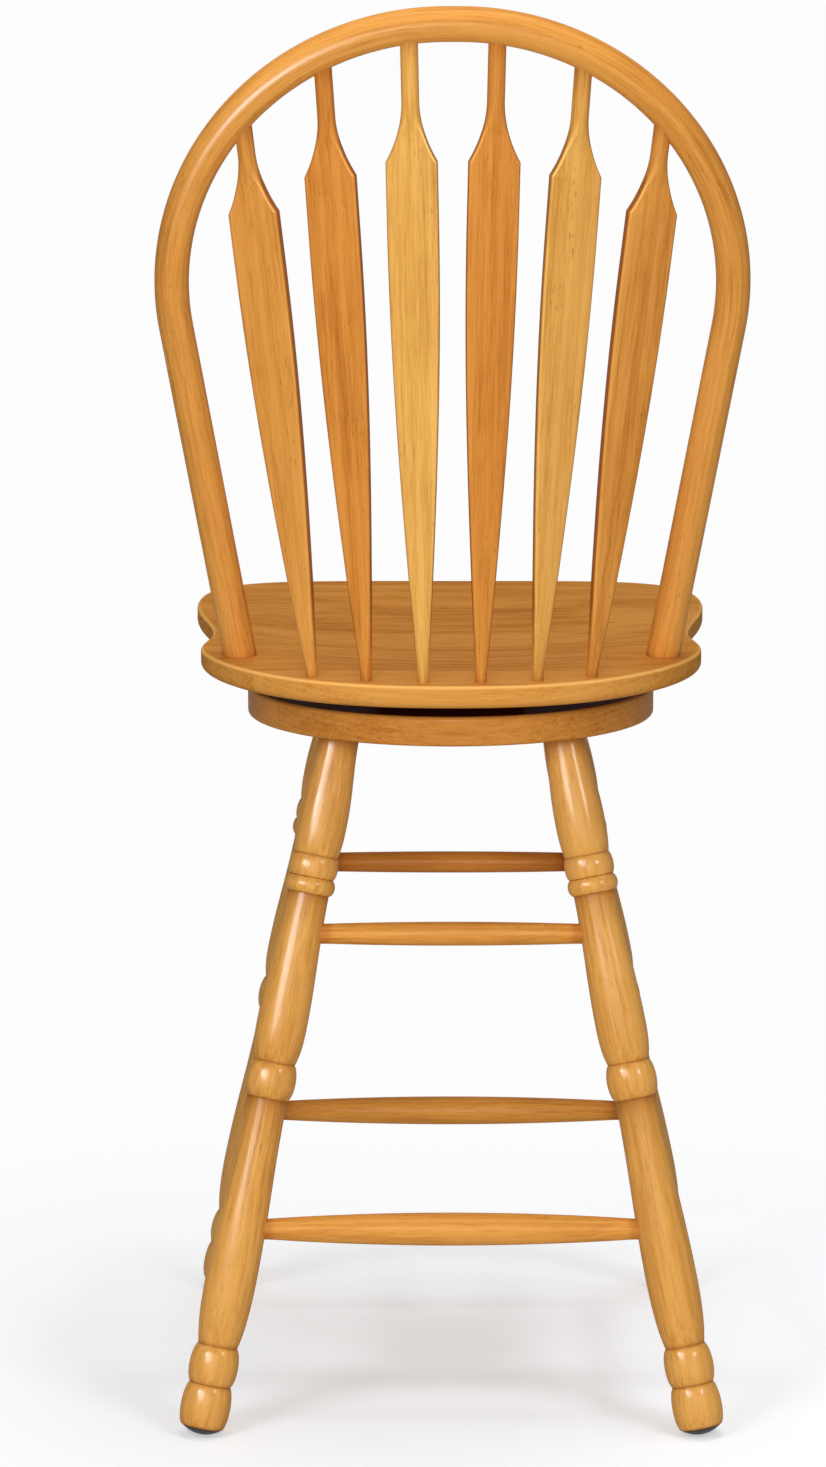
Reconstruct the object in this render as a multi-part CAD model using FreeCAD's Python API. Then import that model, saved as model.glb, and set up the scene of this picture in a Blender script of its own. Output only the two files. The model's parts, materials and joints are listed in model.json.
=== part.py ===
import FreeCAD, Part
import math
import os

Vector = FreeCAD.Vector

# Arrow-back Windsor counter stool with a swivel seat on a four-legged turned base.
# Lengths are millimetres and angles are degrees. X runs to the sitter's left, Y to the back, Z up.
# The model is laid out round the swivel axis and moved to the middle of its own footprint at the end.

# Fits between glued, driven and running pieces
glue_gap = 0.1
socket_floor_gap = 0.5
running_gap = 0.3
pivot_fit_gap = 0.05

# Glides nailed under the feet, along the leg's axis
glide_radius = 15.0
glide_dome_height = 5.0
glide_rim = 1.0
glide_flat_depth = 0.5
nail_radius = 1.5
nail_length = 16.0

# Turned legs: lengths run up the leg's axis from the foot, radii are from that axis
leg_splay = 11.5
leg_top_spread = 175.0
foot_end_radius = 15.8
foot_lobe_length = 34.0
foot_lobe_radius = 18.6
foot_waist_radius = 15.2
foot_bead_length = 31.0
foot_bead_radius = 17.6
ankle_radius = 14.4
lower_bulb_length = 199.0
lower_bulb_rise = 52.5
lower_bulb_radius = 18.2
lower_neck_radius = 15.2
collar_length = 29.0
collar_radius = 18.8
collar_top_radius = 15.2
middle_bulb_length = 136.0
middle_bulb_rise = 29.0
middle_bulb_radius = 18.0
middle_neck_radius = 15.7
ring_length = 13.0
ring_radius = 19.7
ring_groove_radius = 17.0
upper_bead_length = 17.5
upper_bead_radius = 18.9
upper_bead_top_radius = 16.9
upper_bulb_length = 101.3
upper_bulb_rise = 27.0
upper_bulb_radius = 18.2
leg_top_radius = 15.3

# How full a bulb swells below its widest point, how gently it tapers above, the share of a bead's
# length from which it falls in to its top, and the share of its poles' reach that a cubic edge covers
swell_lift = 0.35
taper_ease = 0.4
bead_fall = 0.45
cubic_cover = 0.75

# Stretchers: heights above the floor, radii at the tenons and at mid length
rear_lower_height = 158.5
rear_upper_height = 387.0
front_rise = 8.0
side_stagger = 28.0
tenon_proud = 1.5
lower_tenon_radius = 8.25
upper_tenon_radius = 8.0
rear_lower_radius = 13.0
front_lower_radius = 12.0
side_lower_radius = 12.5
rear_upper_radius = 9.5
front_upper_radius = 9.0
side_upper_radius = 9.25

# Round wooden disc that the legs are glued and screwed into, with a rim of wood beyond their sockets
disc_rim = 25.1
disc_thickness = 23.3
disc_edge_radius = 3.0
leg_socket_roof = 4.0

# Swivel: two pressed plates, a bearing ring between them and a pivot rivet
swivel_height = 23.2
seat_tilt = 3.3
plate_screw_spacing = 127.0
plate_edge = 12.5
plate_thickness = 2.5
plate_corner_radius = 12.0
dish_radius = 60.0
bearing_middle_radius = 47.0
bearing_width = 16.0
bearing_thickness = 3.0
pivot_radius = 7.0
pivot_spigot_radius = 5.0
pivot_head_radius = 11.0
pivot_head_thickness = 2.0

# Wood screws
screw_radius = 2.1
screw_hole_play = 0.5
plate_screw_head_radius = 4.0
plate_screw_head_height = 2.0
plate_screw_length = 13.0
sunk_head_radius = 4.5
sunk_head_height = 3.0
leg_screw_length = 42.0
bow_screw_length = 34.0
bow_screw_recess = 1.0

# Seat board, measured on its own plane from the swivel axis
seat_thickness = 18.8
seat_rear_reach = 199.5
seat_front_reach = 205.0
seat_rear_half_width = 204.8
seat_front_half_width = 215.5
rear_squareness = 2.3
front_squareness = 5.3
waist_depth = 18.0
waist_back = 3.5
waist_rear_length = 45.0
waist_front_length = 71.5
seat_top_edge_radius = 3.0
seat_bottom_edge_radius = 8.0
scoop_radius = 160.0
scoop_depth = 6.5
scoop_forward = 15.0
seat_floor_left = 5.0
outline_points = 48

# Bent bow, in its own plane, which stands on the seat and leans back from the seat's normal
bow_rod_radius = 13.1
bow_radius = 208.0
bow_crown_length = 9.3
bow_height = 519.0
bow_inset = 26.3
bow_rear_inset = 112.5
bow_lean = 14.0

# Arrow spindles: round feet on an arc of the seat, round tops along the bow, flat blades between
spindle_arc_radius = 285.0
spindle_inset = 14.5
spindle_base_pitch = 8.9
inner_top_angle = 7.8
middle_top_angle = 26.4
outer_top_angle = 47.3
inner_head_length = 89.4
middle_head_length = 80.4
outer_head_length = 64.4
spindle_turn_share = 0.7
spindle_base_radius = 4.5
spindle_top_radius = 5.6
spindle_width = 37.6
spindle_thickness = 10.0
spindle_foot_length = 8.0
spindle_parallel_length = 42.0
spindle_flare_length = 45.0

# A blade's section is a superellipse: round at its ends, and flat-sided once it has spread a little
round_power = 2.0
blade_power = 4.0
flat_onset = 0.3
section_points = 24
blade_stations = 7
flare_stations = 3

# Values worked out from the sizes above
splay_slope = math.tan(math.radians(leg_splay))
thickest_leg = max(lower_bulb_radius, middle_bulb_radius)
leg_rise = 1 / math.sqrt(1 + 2 * splay_slope**2)
leg_run = math.sqrt(1 - leg_rise**2)

dome_radius = (glide_radius**2 + glide_dome_height**2) / (2 * glide_dome_height)
dome_centre = (dome_radius - glide_flat_depth) / leg_rise
glide_rim_level = dome_centre - dome_radius + glide_dome_height
foot_level = glide_rim_level + glide_rim
waist_level = foot_level + foot_lobe_length
ankle_level = waist_level + foot_bead_length
collar_level = ankle_level + lower_bulb_length
middle_level = collar_level + collar_length
ring_level = middle_level + middle_bulb_length
bead_level = ring_level + ring_length
upper_level = bead_level + upper_bead_length
disc_level = upper_level + upper_bulb_length

disc_bottom = disc_level * leg_rise
disc_top = disc_bottom + disc_thickness
disc_radius = leg_top_spread / math.sqrt(2) + leg_top_radius + disc_rim
foot_spread = leg_top_spread + 2 * disc_bottom * splay_slope
leg_top_level = (disc_top - leg_socket_roof - leg_top_radius * leg_run) / leg_rise
seat_bottom = disc_top + swivel_height
plate_side = plate_screw_spacing + 2 * plate_edge
bow_base_back = seat_rear_reach - bow_rear_inset

lower_height = {
    "rear": rear_lower_height,
    "front": rear_lower_height + front_rise,
    "side": rear_lower_height + front_rise + side_stagger,
}
upper_height = {
    "rear": rear_upper_height,
    "front": rear_upper_height + front_rise,
    "side": rear_upper_height - side_stagger,
}
lower_radius = {"rear": rear_lower_radius, "front": front_lower_radius, "side": side_lower_radius}
upper_radius = {"rear": rear_upper_radius, "front": front_upper_radius, "side": side_upper_radius}

up = Vector(0, 0, 1)
origin = Vector(0, 0, 0)


def outline_edge(*poles):
    """Bezier edge through (radius, level) poles in the plane that is turned about Z."""
    curve = Part.BezierCurve()
    curve.setPoles([Vector(radius, 0, level) for radius, level in poles])
    return curve.toShape()


def turned(*edges):
    """Solid of revolution about Z from the edges of one closed half outline."""
    face = Part.Face(Part.Wire(edges))
    return face.revolve(origin, up, 360)


def bead(bottom, top, widest):
    """Bead between two (radius, level) ends: one cubic edge, undercut below and falling in above."""
    middle = (bottom[0] + top[0]) / 2
    reach = middle + (widest - middle) / cubic_cover
    fall_level = bottom[1] + bead_fall * (top[1] - bottom[1])
    return [outline_edge(bottom, (reach, bottom[1]), (reach, fall_level), top)]


def bulb(bottom, top, widest, rise):
    """Bulb that swells quickly to its widest point, rise above the bottom, then tapers in an S."""
    level = bottom[1] + rise
    ease = taper_ease * (top[1] - level)
    swell = outline_edge(bottom, (widest, bottom[1] + swell_lift * rise), (widest, level))
    taper = outline_edge((widest, level), (widest, level + ease), (top[0], top[1] - ease), top)
    return [swell, taper]


def rod(radius, start, end):
    """Plain round bar between two points."""
    return Part.makeCylinder(radius, (end - start).Length, start, end - start)


def placed(shape, base, direction, across=Vector(1, 0, 0)):
    """Copy of a shape whose Z axis is turned to direction and whose X axis stays near across."""
    turn = FreeCAD.Rotation(across, Vector(0, 0, 0), direction, "ZXY")
    copy = shape.copy()
    copy.Placement = FreeCAD.Placement(base, turn).multiply(copy.Placement)
    return copy


def leg_half_spread(height):
    """Distance of a leg's axis from the swivel axis, along X and along Y, at a height."""
    return foot_spread / 2 - height * splay_slope


def leg_point(side, end, level):
    """Point on a leg's axis, level along it from the floor. side and end are the leg's signs in X and Y."""
    height = level * leg_rise
    spread = leg_half_spread(height)
    return Vector(side * spread, end * spread, height)


def on_leg(shape, side, end):
    """Shape turned about Z, set on one leg's axis with its level zero on the floor."""
    foot = leg_point(side, end, 0)
    return placed(shape, foot, leg_point(side, end, 1) - foot)


def turned_leg():
    """Leg blank, standing on Z: foot lobe, bead, long bulbs, collar, ring and round top."""
    foot = (foot_end_radius, foot_level)
    waist = (foot_waist_radius, waist_level)
    ankle = (ankle_radius, ankle_level)
    lower_neck = (lower_neck_radius, collar_level)
    collar_top = (collar_top_radius, middle_level)
    middle_neck = (middle_neck_radius, ring_level)
    groove = (ring_groove_radius, bead_level)
    bead_top = (upper_bead_top_radius, upper_level)
    shoulder = (leg_top_radius, disc_level)
    end = (leg_top_radius, leg_top_level)
    outline = [outline_edge((0, foot_level), foot)]
    outline += bead(foot, waist, foot_lobe_radius)
    outline += bead(waist, ankle, foot_bead_radius)
    outline += bulb(ankle, lower_neck, lower_bulb_radius, lower_bulb_rise)
    outline += bead(lower_neck, collar_top, collar_radius)
    outline += bulb(collar_top, middle_neck, middle_bulb_radius, middle_bulb_rise)
    outline += bead(middle_neck, groove, ring_radius)
    outline += bead(groove, bead_top, upper_bead_radius)
    outline += bulb(bead_top, shoulder, upper_bulb_radius, upper_bulb_rise)
    outline.append(outline_edge(shoulder, end))
    outline.append(outline_edge(end, (0, leg_top_level)))
    outline.append(outline_edge((0, leg_top_level), (0, foot_level)))
    return turned(*outline)


def glide():
    """Domed glide with its nail, standing on Z, before it is flattened by the floor."""
    centre = Vector(0, 0, dome_centre)
    dome = Part.makeSphere(dome_radius, centre)
    lowest = Vector(0, 0, glide_rim_level - glide_dome_height)
    rim = Part.makeCylinder(glide_radius, glide_dome_height + glide_rim, lowest)
    nail = Part.makeCylinder(nail_radius, nail_length, Vector(0, 0, foot_level))
    return dome.common(rim).fuse(nail).removeSplitter()


def sunk_screw(length):
    """Countersunk screw pointing down Z with the top of its head at the origin."""
    head = Part.makeCone(sunk_head_radius, screw_radius, sunk_head_height, origin, -up)
    return head.fuse(rod(screw_radius, origin, Vector(0, 0, -length))).removeSplitter()


def sunk_screw_hole(length, cover):
    """Space for a countersunk screw, with a round recess of depth cover above its head."""
    mouth = Part.makeCylinder(sunk_head_radius + glue_gap, cover + glue_gap, Vector(0, 0, -glue_gap))
    cone = Part.makeCone(
        sunk_head_radius + glue_gap, screw_radius + glue_gap, sunk_head_height, Vector(0, 0, -glue_gap), -up
    )
    shank = rod(screw_radius + glue_gap, origin, Vector(0, 0, -length - socket_floor_gap))
    return mouth.fuse([cone, shank])


def plate_screw():
    """Pan-head screw pointing up Z, with the underside of its head at the origin."""
    head = Part.makeCylinder(plate_screw_head_radius, plate_screw_head_height, origin, -up)
    edges = [edge for edge in head.Edges if edge.BoundBox.ZMax < -plate_screw_head_height / 2]
    head = head.makeFillet(plate_screw_head_height / 2, edges)
    return head.fuse(rod(screw_radius, origin, Vector(0, 0, plate_screw_length))).removeSplitter()


def square_plate():
    """Square plate with rounded corners, its lower face on Z zero and its centre on the axis."""
    half = plate_side / 2
    plate = Part.makeBox(plate_side, plate_side, plate_thickness, Vector(-half, -half, 0))
    corners = [edge for edge in plate.Edges if edge.BoundBox.ZLength > plate_thickness / 2]
    return plate.makeFillet(plate_corner_radius, corners)


def screw_places():
    """The four screw points of a swivel plate, on its own plane."""
    half = plate_screw_spacing / 2
    return [Vector(side * half, end * half, 0) for side in (1, -1) for end in (1, -1)]


def group(shapes):
    """Several separate solids as one node."""
    return Part.makeCompound(shapes)


# The seat board and everything fixed to it is laid out flat, with the swivel axis through the
# origin and the board's upper face on Z zero, and is then tilted as one.
seat_turn = FreeCAD.Rotation(Vector(1, 0, 0), -seat_tilt)
seat_place = FreeCAD.Placement(Vector(0, 0, seat_bottom), seat_turn).multiply(
    FreeCAD.Placement(Vector(0, 0, seat_thickness), FreeCAD.Rotation())
)


def tilted(shape):
    """Copy of a shape from the flat layout of the seat, set at its tilt on the swivel."""
    copy = shape.copy()
    copy.Placement = seat_place.multiply(copy.Placement)
    return copy


def seat_half_width(back):
    """Half width that the seat's sides would have at a place, with the waist drawn in."""
    share = (back + seat_front_reach) / (seat_rear_reach + seat_front_reach)
    side = seat_front_half_width + share * (seat_rear_half_width - seat_front_half_width)
    offset = back - waist_back
    length = waist_rear_length if offset > 0 else waist_front_length
    return side - waist_depth * math.exp(-((offset / length) ** 2))


def seat_edge(back):
    """Distance of the seat's side edge from its middle line, at a place behind the swivel axis."""
    reach = seat_rear_reach if back > 0 else seat_front_reach
    power = rear_squareness if back > 0 else front_squareness
    return seat_half_width(back) * (1 - abs(back / reach) ** power) ** (1 / power)


def seat_outline_point(turn):
    """Point of the seat's outline at a turn: a superellipse whose sides follow the waist."""
    across = math.cos(turn)
    back = math.sin(turn)
    reach = seat_rear_reach if back > 0 else seat_front_reach
    power = rear_squareness if back > 0 else front_squareness
    scale = (abs(across) ** power + abs(back) ** power) ** (-1 / power)
    place = scale * back * reach
    return Vector(scale * across * seat_half_width(place), place, 0)


def seat_board():
    """Board with a waisted outline, rolled edges and a shallow round scoop to sit in."""
    points = [seat_outline_point(2 * math.pi * step / outline_points) for step in range(outline_points)]
    outline = Part.BSplineCurve()
    outline.interpolate(Points=points, PeriodicFlag=True)
    face = Part.Face(Part.Wire(outline.toShape()))
    board = face.extrude(Vector(0, 0, -seat_thickness))
    top = [edge for edge in board.Edges if edge.BoundBox.ZMin > -seat_thickness / 2]
    board = board.makeFillet(seat_top_edge_radius, top)
    bottom = [edge for edge in board.Edges if edge.BoundBox.ZMax < -seat_thickness + glue_gap]
    board = board.makeFillet(seat_bottom_edge_radius, bottom)
    ball_radius = (scoop_radius**2 + scoop_depth**2) / (2 * scoop_depth)
    centre = Vector(0, -scoop_forward, ball_radius - scoop_depth)
    return board.cut(Part.makeSphere(ball_radius, centre))


def tenon_depth(radius, direction):
    """Length of a round tenon along its own direction that leaves a floor of wood under it."""
    lean = math.sqrt(1 - direction.z**2)
    return (seat_thickness - seat_floor_left - radius * lean) / direction.z


def in_bow_plane(across, height):
    """Point of the bow's leaning plane, height up it from the seat's upper face."""
    lean = math.radians(bow_lean)
    return Vector(across, bow_base_back + height * math.sin(lean), height * math.cos(lean))


bow_centre_height = bow_height - bow_radius
bow_base_half = seat_edge(bow_base_back) - bow_inset
base_offset = bow_base_half - bow_crown_length / 2
base_distance = math.hypot(base_offset, bow_centre_height)
base_fall = math.atan2(bow_centre_height, base_offset)
bend_turn = math.pi / 2 + base_fall - math.acos(bow_radius / base_distance)


def bow_point(side, turn):
    """Point of the bow's middle line, at a turn from its short straight crown down one bent side."""
    across = bow_crown_length / 2 + bow_radius * math.sin(turn)
    return in_bow_plane(side * across, bow_centre_height + bow_radius * math.cos(turn))


def bow_end(side):
    """Lower end of the bow, inside its socket, and the direction of the straight leg above it."""
    base = in_bow_plane(side * bow_base_half, 0)
    direction = (bow_point(side, bend_turn) - base).normalize()
    return base - direction * tenon_depth(bow_rod_radius, direction), direction


def bow_bend(side):
    """The bent stretch of one side, from the crown to the straight leg."""
    turns = (0, bend_turn / 2, bend_turn)
    return Part.Arc(*[bow_point(side, turn) for turn in turns]).toShape()


def bent_bow():
    """Round rod bent to an arch, its straight legs drawn in towards the seat."""
    left_end, left_direction = bow_end(1)
    right_end, right_direction = bow_end(-1)
    spine = Part.Wire([
        Part.makeLine(left_end, bow_point(1, bend_turn)),
        bow_bend(1),
        Part.makeLine(bow_point(1, 0), bow_point(-1, 0)),
        bow_bend(-1),
        Part.makeLine(bow_point(-1, bend_turn), right_end),
    ])
    section = Part.Wire(Part.makeCircle(bow_rod_radius, left_end, left_direction))
    return spine.makePipeShell([section], True, False)


# Each pair of spindles: steps from the middle along the seat's arc, turn along the bow, length of the head
spindle_pairs = {
    "inner": (1 / 2, inner_top_angle, inner_head_length),
    "middle": (3 / 2, middle_top_angle, middle_head_length),
    "outer": (5 / 2, outer_top_angle, outer_head_length),
}


def spindle_ends(steps, top_angle, side):
    """Foot of a spindle on the seat and its top on the bow's middle line, with its turn about Z."""
    base_turn = math.radians(side * steps * spindle_base_pitch)
    arc_centre = Vector(0, seat_rear_reach - spindle_inset - spindle_arc_radius, 0)
    foot = arc_centre + Vector(math.sin(base_turn), math.cos(base_turn), 0) * spindle_arc_radius
    return foot, bow_point(side, math.radians(top_angle)), base_turn * spindle_turn_share


def blade_section(level, width, thickness, power):
    """Closed superellipse section of a spindle at a level along it."""
    points = []
    for step in range(section_points):
        turn = 2 * math.pi * step / section_points
        across = math.cos(turn)
        through = math.sin(turn)
        scale = (abs(across) ** power + abs(through) ** power) ** (-1 / power) / 2
        points.append(Vector(scale * across * width, scale * through * thickness, level))
    curve = Part.BSplineCurve()
    curve.interpolate(Points=points, PeriodicFlag=True)
    return Part.Wire(curve.toShape())


def spread_section(level, end_width, spread):
    """Section of a spindle that has spread by a share, from a round end to the full flat blade."""
    width = end_width + spread * (spindle_width - end_width)
    flatness = min(1, spread / flat_onset)
    power = round_power + flatness * (blade_power - round_power)
    return blade_section(level, width, end_width + flatness * (spindle_thickness - end_width), power)


def arrow_spindle(tenon, head_length, free_length, length):
    """Spindle standing on Z with its foot at the origin: round tenons and a flat arrow blade."""
    base = 2 * spindle_base_radius
    top = 2 * spindle_top_radius
    shoulder = free_length - head_length
    neck = shoulder + spindle_flare_length
    fan_length = shoulder - spindle_parallel_length - spindle_foot_length
    foot = [blade_section(level, base, base, round_power) for level in (-tenon, spindle_foot_length)]
    blade = []
    for station in range(1, blade_stations + 1):
        rise = station / blade_stations * (shoulder - spindle_foot_length)
        spread = math.sin(math.pi / 2 * min(1, rise / fan_length))
        blade.append(spread_section(spindle_foot_length + rise, base, spread))
    flare = []
    for station in range(1, flare_stations):
        share = station / flare_stations
        flare.append(spread_section(shoulder + share * spindle_flare_length, top, (1 - share) ** 2))
    tip = [blade_section(level, top, top, round_power) for level in (neck, length)]
    stretches = [
        Part.makeLoft(foot, True, True),
        Part.makeLoft(foot[-1:] + blade, True),
        Part.makeLoft(blade[-1:] + flare + tip[:1], True),
        Part.makeLoft(tip, True, True),
    ]
    return stretches[0].fuse(stretches[1:])


def stretcher(height, tenon_radius, middle_radius):
    """Turned stretcher along Z, centred, reaching from one leg's axis to the other's."""
    half = leg_half_spread(height)
    straight = half - thickest_leg / math.cos(math.radians(leg_splay)) - tenon_proud
    swell = Part.Arc(
        Vector(tenon_radius, 0, -straight), Vector(middle_radius, 0, 0), Vector(tenon_radius, 0, straight)
    ).toShape()
    return turned(
        outline_edge((0, -half), (tenon_radius, -half)),
        outline_edge((tenon_radius, -half), (tenon_radius, -straight)),
        swell,
        outline_edge((tenon_radius, straight), (tenon_radius, half)),
        outline_edge((tenon_radius, half), (0, half)),
        outline_edge((0, half), (0, -half)),
    )


parts = {}
leg_names = {(1, 1): "rear_left", (-1, 1): "rear_right", (1, -1): "front_left", (-1, -1): "front_right"}

# Stretchers, and the sockets that they need in the legs
leg_sockets = {corner: [] for corner in leg_names}
stretcher_sides = {
    "front": (Vector(1, 0, 0), Vector(0, -1, 0), "front"),
    "rear": (Vector(1, 0, 0), Vector(0, 1, 0), "rear"),
    "left": (Vector(0, 1, 0), Vector(1, 0, 0), "side"),
    "right": (Vector(0, 1, 0), Vector(-1, 0, 0), "side"),
}
tiers = {
    "upper": (upper_height, upper_radius, upper_tenon_radius),
    "lower": (lower_height, lower_radius, lower_tenon_radius),
}
for tier, (heights, radii, tenon_radius) in tiers.items():
    for name, (along, outward, kind) in stretcher_sides.items():
        height = heights[kind]
        spread = leg_half_spread(height)
        centre = outward * spread + up * height
        piece = stretcher(height, tenon_radius, radii[kind])
        parts[f"{name}_{tier}_stretcher"] = placed(piece, centre, along, up)
        for end in (1, -1):
            corner = along * end + outward
            floor = centre + along * end * (spread + socket_floor_gap)
            hole = rod(tenon_radius + glue_gap, floor, floor - along * end * 2 * thickest_leg)
            leg_sockets[(round(corner.x), round(corner.y))].append(hole)

# Legs with their glides and the screws that hold them up into the disc
leg_blank = turned_leg()
glide_blank = glide()
nail_hole_length = nail_length + socket_floor_gap
nail_hole = Part.makeCylinder(nail_radius + glue_gap, nail_hole_length, Vector(0, 0, foot_level))
floor_slab = Part.makeBox(
    2 * foot_spread, 2 * foot_spread, dome_radius, Vector(-foot_spread, -foot_spread, -dome_radius)
)
leg_socket = rod(
    leg_top_radius + glue_gap,
    Vector(0, 0, disc_level - 2 * leg_top_radius),
    Vector(0, 0, leg_top_level + socket_floor_gap),
)
head_level = leg_top_level + socket_floor_gap + sunk_head_height
leg_screw = sunk_screw(leg_screw_length).translate(Vector(0, 0, head_level))
leg_screw_hole = sunk_screw_hole(leg_screw_length, disc_thickness).translate(Vector(0, 0, head_level))
disc_cuts = []
leg_screws = []
for corner, name in leg_names.items():
    leg = on_leg(leg_blank.cut([nail_hole, leg_screw_hole]), *corner)
    parts[f"leg_{name}"] = leg.cut(leg_sockets[corner])
    parts[f"glide_{name}"] = on_leg(glide_blank, *corner).cut(floor_slab)
    disc_cuts.append(on_leg(leg_socket, *corner))
    disc_cuts.append(on_leg(leg_screw_hole, *corner))
    leg_screws.append(on_leg(leg_screw, *corner))
parts["leg_screws"] = group(leg_screws)

# Swivel plates, bearing ring, pivot and plate screws
plate_holes = [
    rod(screw_radius + screw_hole_play, place - up * plate_thickness, place + up * 2 * plate_thickness)
    for place in screw_places()
]
bearing_level = disc_top + plate_thickness
dish_level = bearing_level + bearing_thickness + running_gap
pivot_head_level = dish_level + plate_thickness + running_gap
to_disc = Vector(0, 0, disc_top)

spigot_hole = Part.makeCylinder(pivot_spigot_radius + pivot_fit_gap, plate_thickness)
bottom_plate = square_plate().cut([*plate_holes, spigot_hole])
parts["swivel_bottom_plate"] = bottom_plate.translate(to_disc)

bearing_outer = Part.makeCylinder(
    bearing_middle_radius + bearing_width / 2, bearing_thickness, Vector(0, 0, bearing_level)
)
bearing_inner = Part.makeCylinder(
    bearing_middle_radius - bearing_width / 2, bearing_thickness, Vector(0, 0, bearing_level)
)
parts["swivel_bearing_ring"] = bearing_outer.cut(bearing_inner)

spigot = Part.makeCylinder(pivot_spigot_radius, plate_thickness, to_disc)
pivot_shank = rod(pivot_radius, Vector(0, 0, bearing_level), Vector(0, 0, pivot_head_level))
pivot_head = Part.makeCylinder(pivot_head_radius, pivot_head_thickness, Vector(0, 0, pivot_head_level))
parts["swivel_pivot_rivet"] = spigot.fuse([pivot_shank, pivot_head]).removeSplitter()

under_seat = seat_place.multiply(FreeCAD.Placement(Vector(0, 0, -seat_thickness), FreeCAD.Rotation()))
flange = square_plate().cut(plate_holes).translate(Vector(0, 0, -plate_thickness))
flange.Placement = under_seat.multiply(flange.Placement)
above_flange = Part.makeBox(2 * plate_side, 2 * plate_side, plate_side, Vector(-plate_side, -plate_side, 0))
above_flange.Placement = under_seat
dish_wall = Part.makeCylinder(dish_radius, 2 * swivel_height, Vector(0, 0, dish_level)).cut(above_flange)
dish_hollow = Part.makeCylinder(
    dish_radius - plate_thickness, 2 * swivel_height, Vector(0, 0, dish_level + plate_thickness)
)
pivot_hole = Part.makeCylinder(pivot_radius + pivot_fit_gap, swivel_height, Vector(0, 0, dish_level))
parts["swivel_top_plate"] = flange.fuse(dish_wall).cut([dish_hollow, pivot_hole]).removeSplitter()

# Plate screws go down into the disc and up into the seat
down_screw = plate_screw().rotate(origin, Vector(1, 0, 0), 180)
screw_hole = rod(screw_radius + glue_gap, origin, Vector(0, 0, plate_screw_length + socket_floor_gap))
down_hole = screw_hole.copy().rotate(origin, Vector(1, 0, 0), 180)
bottom_screws = []
top_screws = []
seat_screw_holes = []
for place in screw_places():
    seat_of_head = place + Vector(0, 0, bearing_level)
    bottom_screws.append(down_screw.copy().translate(seat_of_head))
    disc_cuts.append(down_hole.copy().translate(seat_of_head))
    under_flange = place - Vector(0, 0, seat_thickness + plate_thickness)
    top_screws.append(tilted(plate_screw().translate(under_flange)))
    seat_screw_holes.append(screw_hole.copy().translate(under_flange))
parts["swivel_bottom_screws"] = group(bottom_screws)
parts["swivel_top_screws"] = group(top_screws)

# Disc with rounded rims, leg sockets and screw holes
disc = Part.makeCylinder(disc_radius, disc_thickness, Vector(0, 0, disc_bottom))
rims = [edge for edge in disc.Edges if edge.BoundBox.XLength > disc_radius]
parts["leg_disc"] = disc.makeFillet(disc_edge_radius, rims).cut(disc_cuts)

# Spindles, with their sockets in the seat and in the bow
seat_cuts = list(seat_screw_holes)
bow_cuts = []
for pair, (steps, top_angle, head_length) in spindle_pairs.items():
    for side, side_name in ((1, "left"), (-1, "right")):
        foot, top, turn = spindle_ends(steps, top_angle, side)
        axis = (top - foot).normalize()
        length = foot.distanceToPoint(top)
        tenon = tenon_depth(spindle_base_radius, axis)
        across = Vector(math.cos(turn), -math.sin(turn), 0)
        blank = arrow_spindle(tenon, head_length, length - bow_rod_radius, length)
        parts[f"spindle_{pair}_{side_name}"] = tilted(placed(blank, foot, axis, across))
        seat_floor = foot - axis * (tenon + socket_floor_gap)
        seat_cuts.append(rod(spindle_base_radius + glue_gap, seat_floor, foot + axis * spindle_foot_length))
        bow_floor = top + axis * socket_floor_gap
        bow_cuts.append(rod(spindle_top_radius + glue_gap, bow_floor, top - axis * 2 * bow_rod_radius))

# Bow, with its sockets in the seat and the screws that come up into its ends
bow_screws = []
for side in (1, -1):
    end, direction = bow_end(side)
    above = end + direction * 2 * seat_thickness
    seat_cuts.append(rod(bow_rod_radius + glue_gap, end - direction * socket_floor_gap, above))
    base = in_bow_plane(side * bow_base_half, 0)
    head = base - direction * (seat_thickness / direction.z - bow_screw_recess)
    bow_screws.append(tilted(placed(sunk_screw(bow_screw_length), head, -direction)))
    hole = placed(sunk_screw_hole(bow_screw_length, seat_thickness), head, -direction)
    seat_cuts.append(hole)
    bow_cuts.append(hole)
parts["bow_screws"] = group(bow_screws)
parts["bow"] = tilted(bent_bow().cut(bow_cuts))
parts["seat"] = tilted(seat_board().cut(seat_cuts))

# The origin is on the floor under the middle of the whole stool
reach = group(list(parts.values())).optimalBoundingBox()
centring = Vector(0, -(reach.YMin + reach.YMax) / 2, 0)
os.makedirs("parts", exist_ok=True)
for name, shape in parts.items():
    shape.translate(centring)
    shape.exportStep(os.path.join("parts", f"{name}.step"))
print(f"swivel axis at Y {centring.y:.4f}, disc top at Z {disc_top:.4f}, seat bottom at Z {seat_bottom:.4f}")
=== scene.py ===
import itertools
import json
import math
from collections import namedtuple

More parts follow.
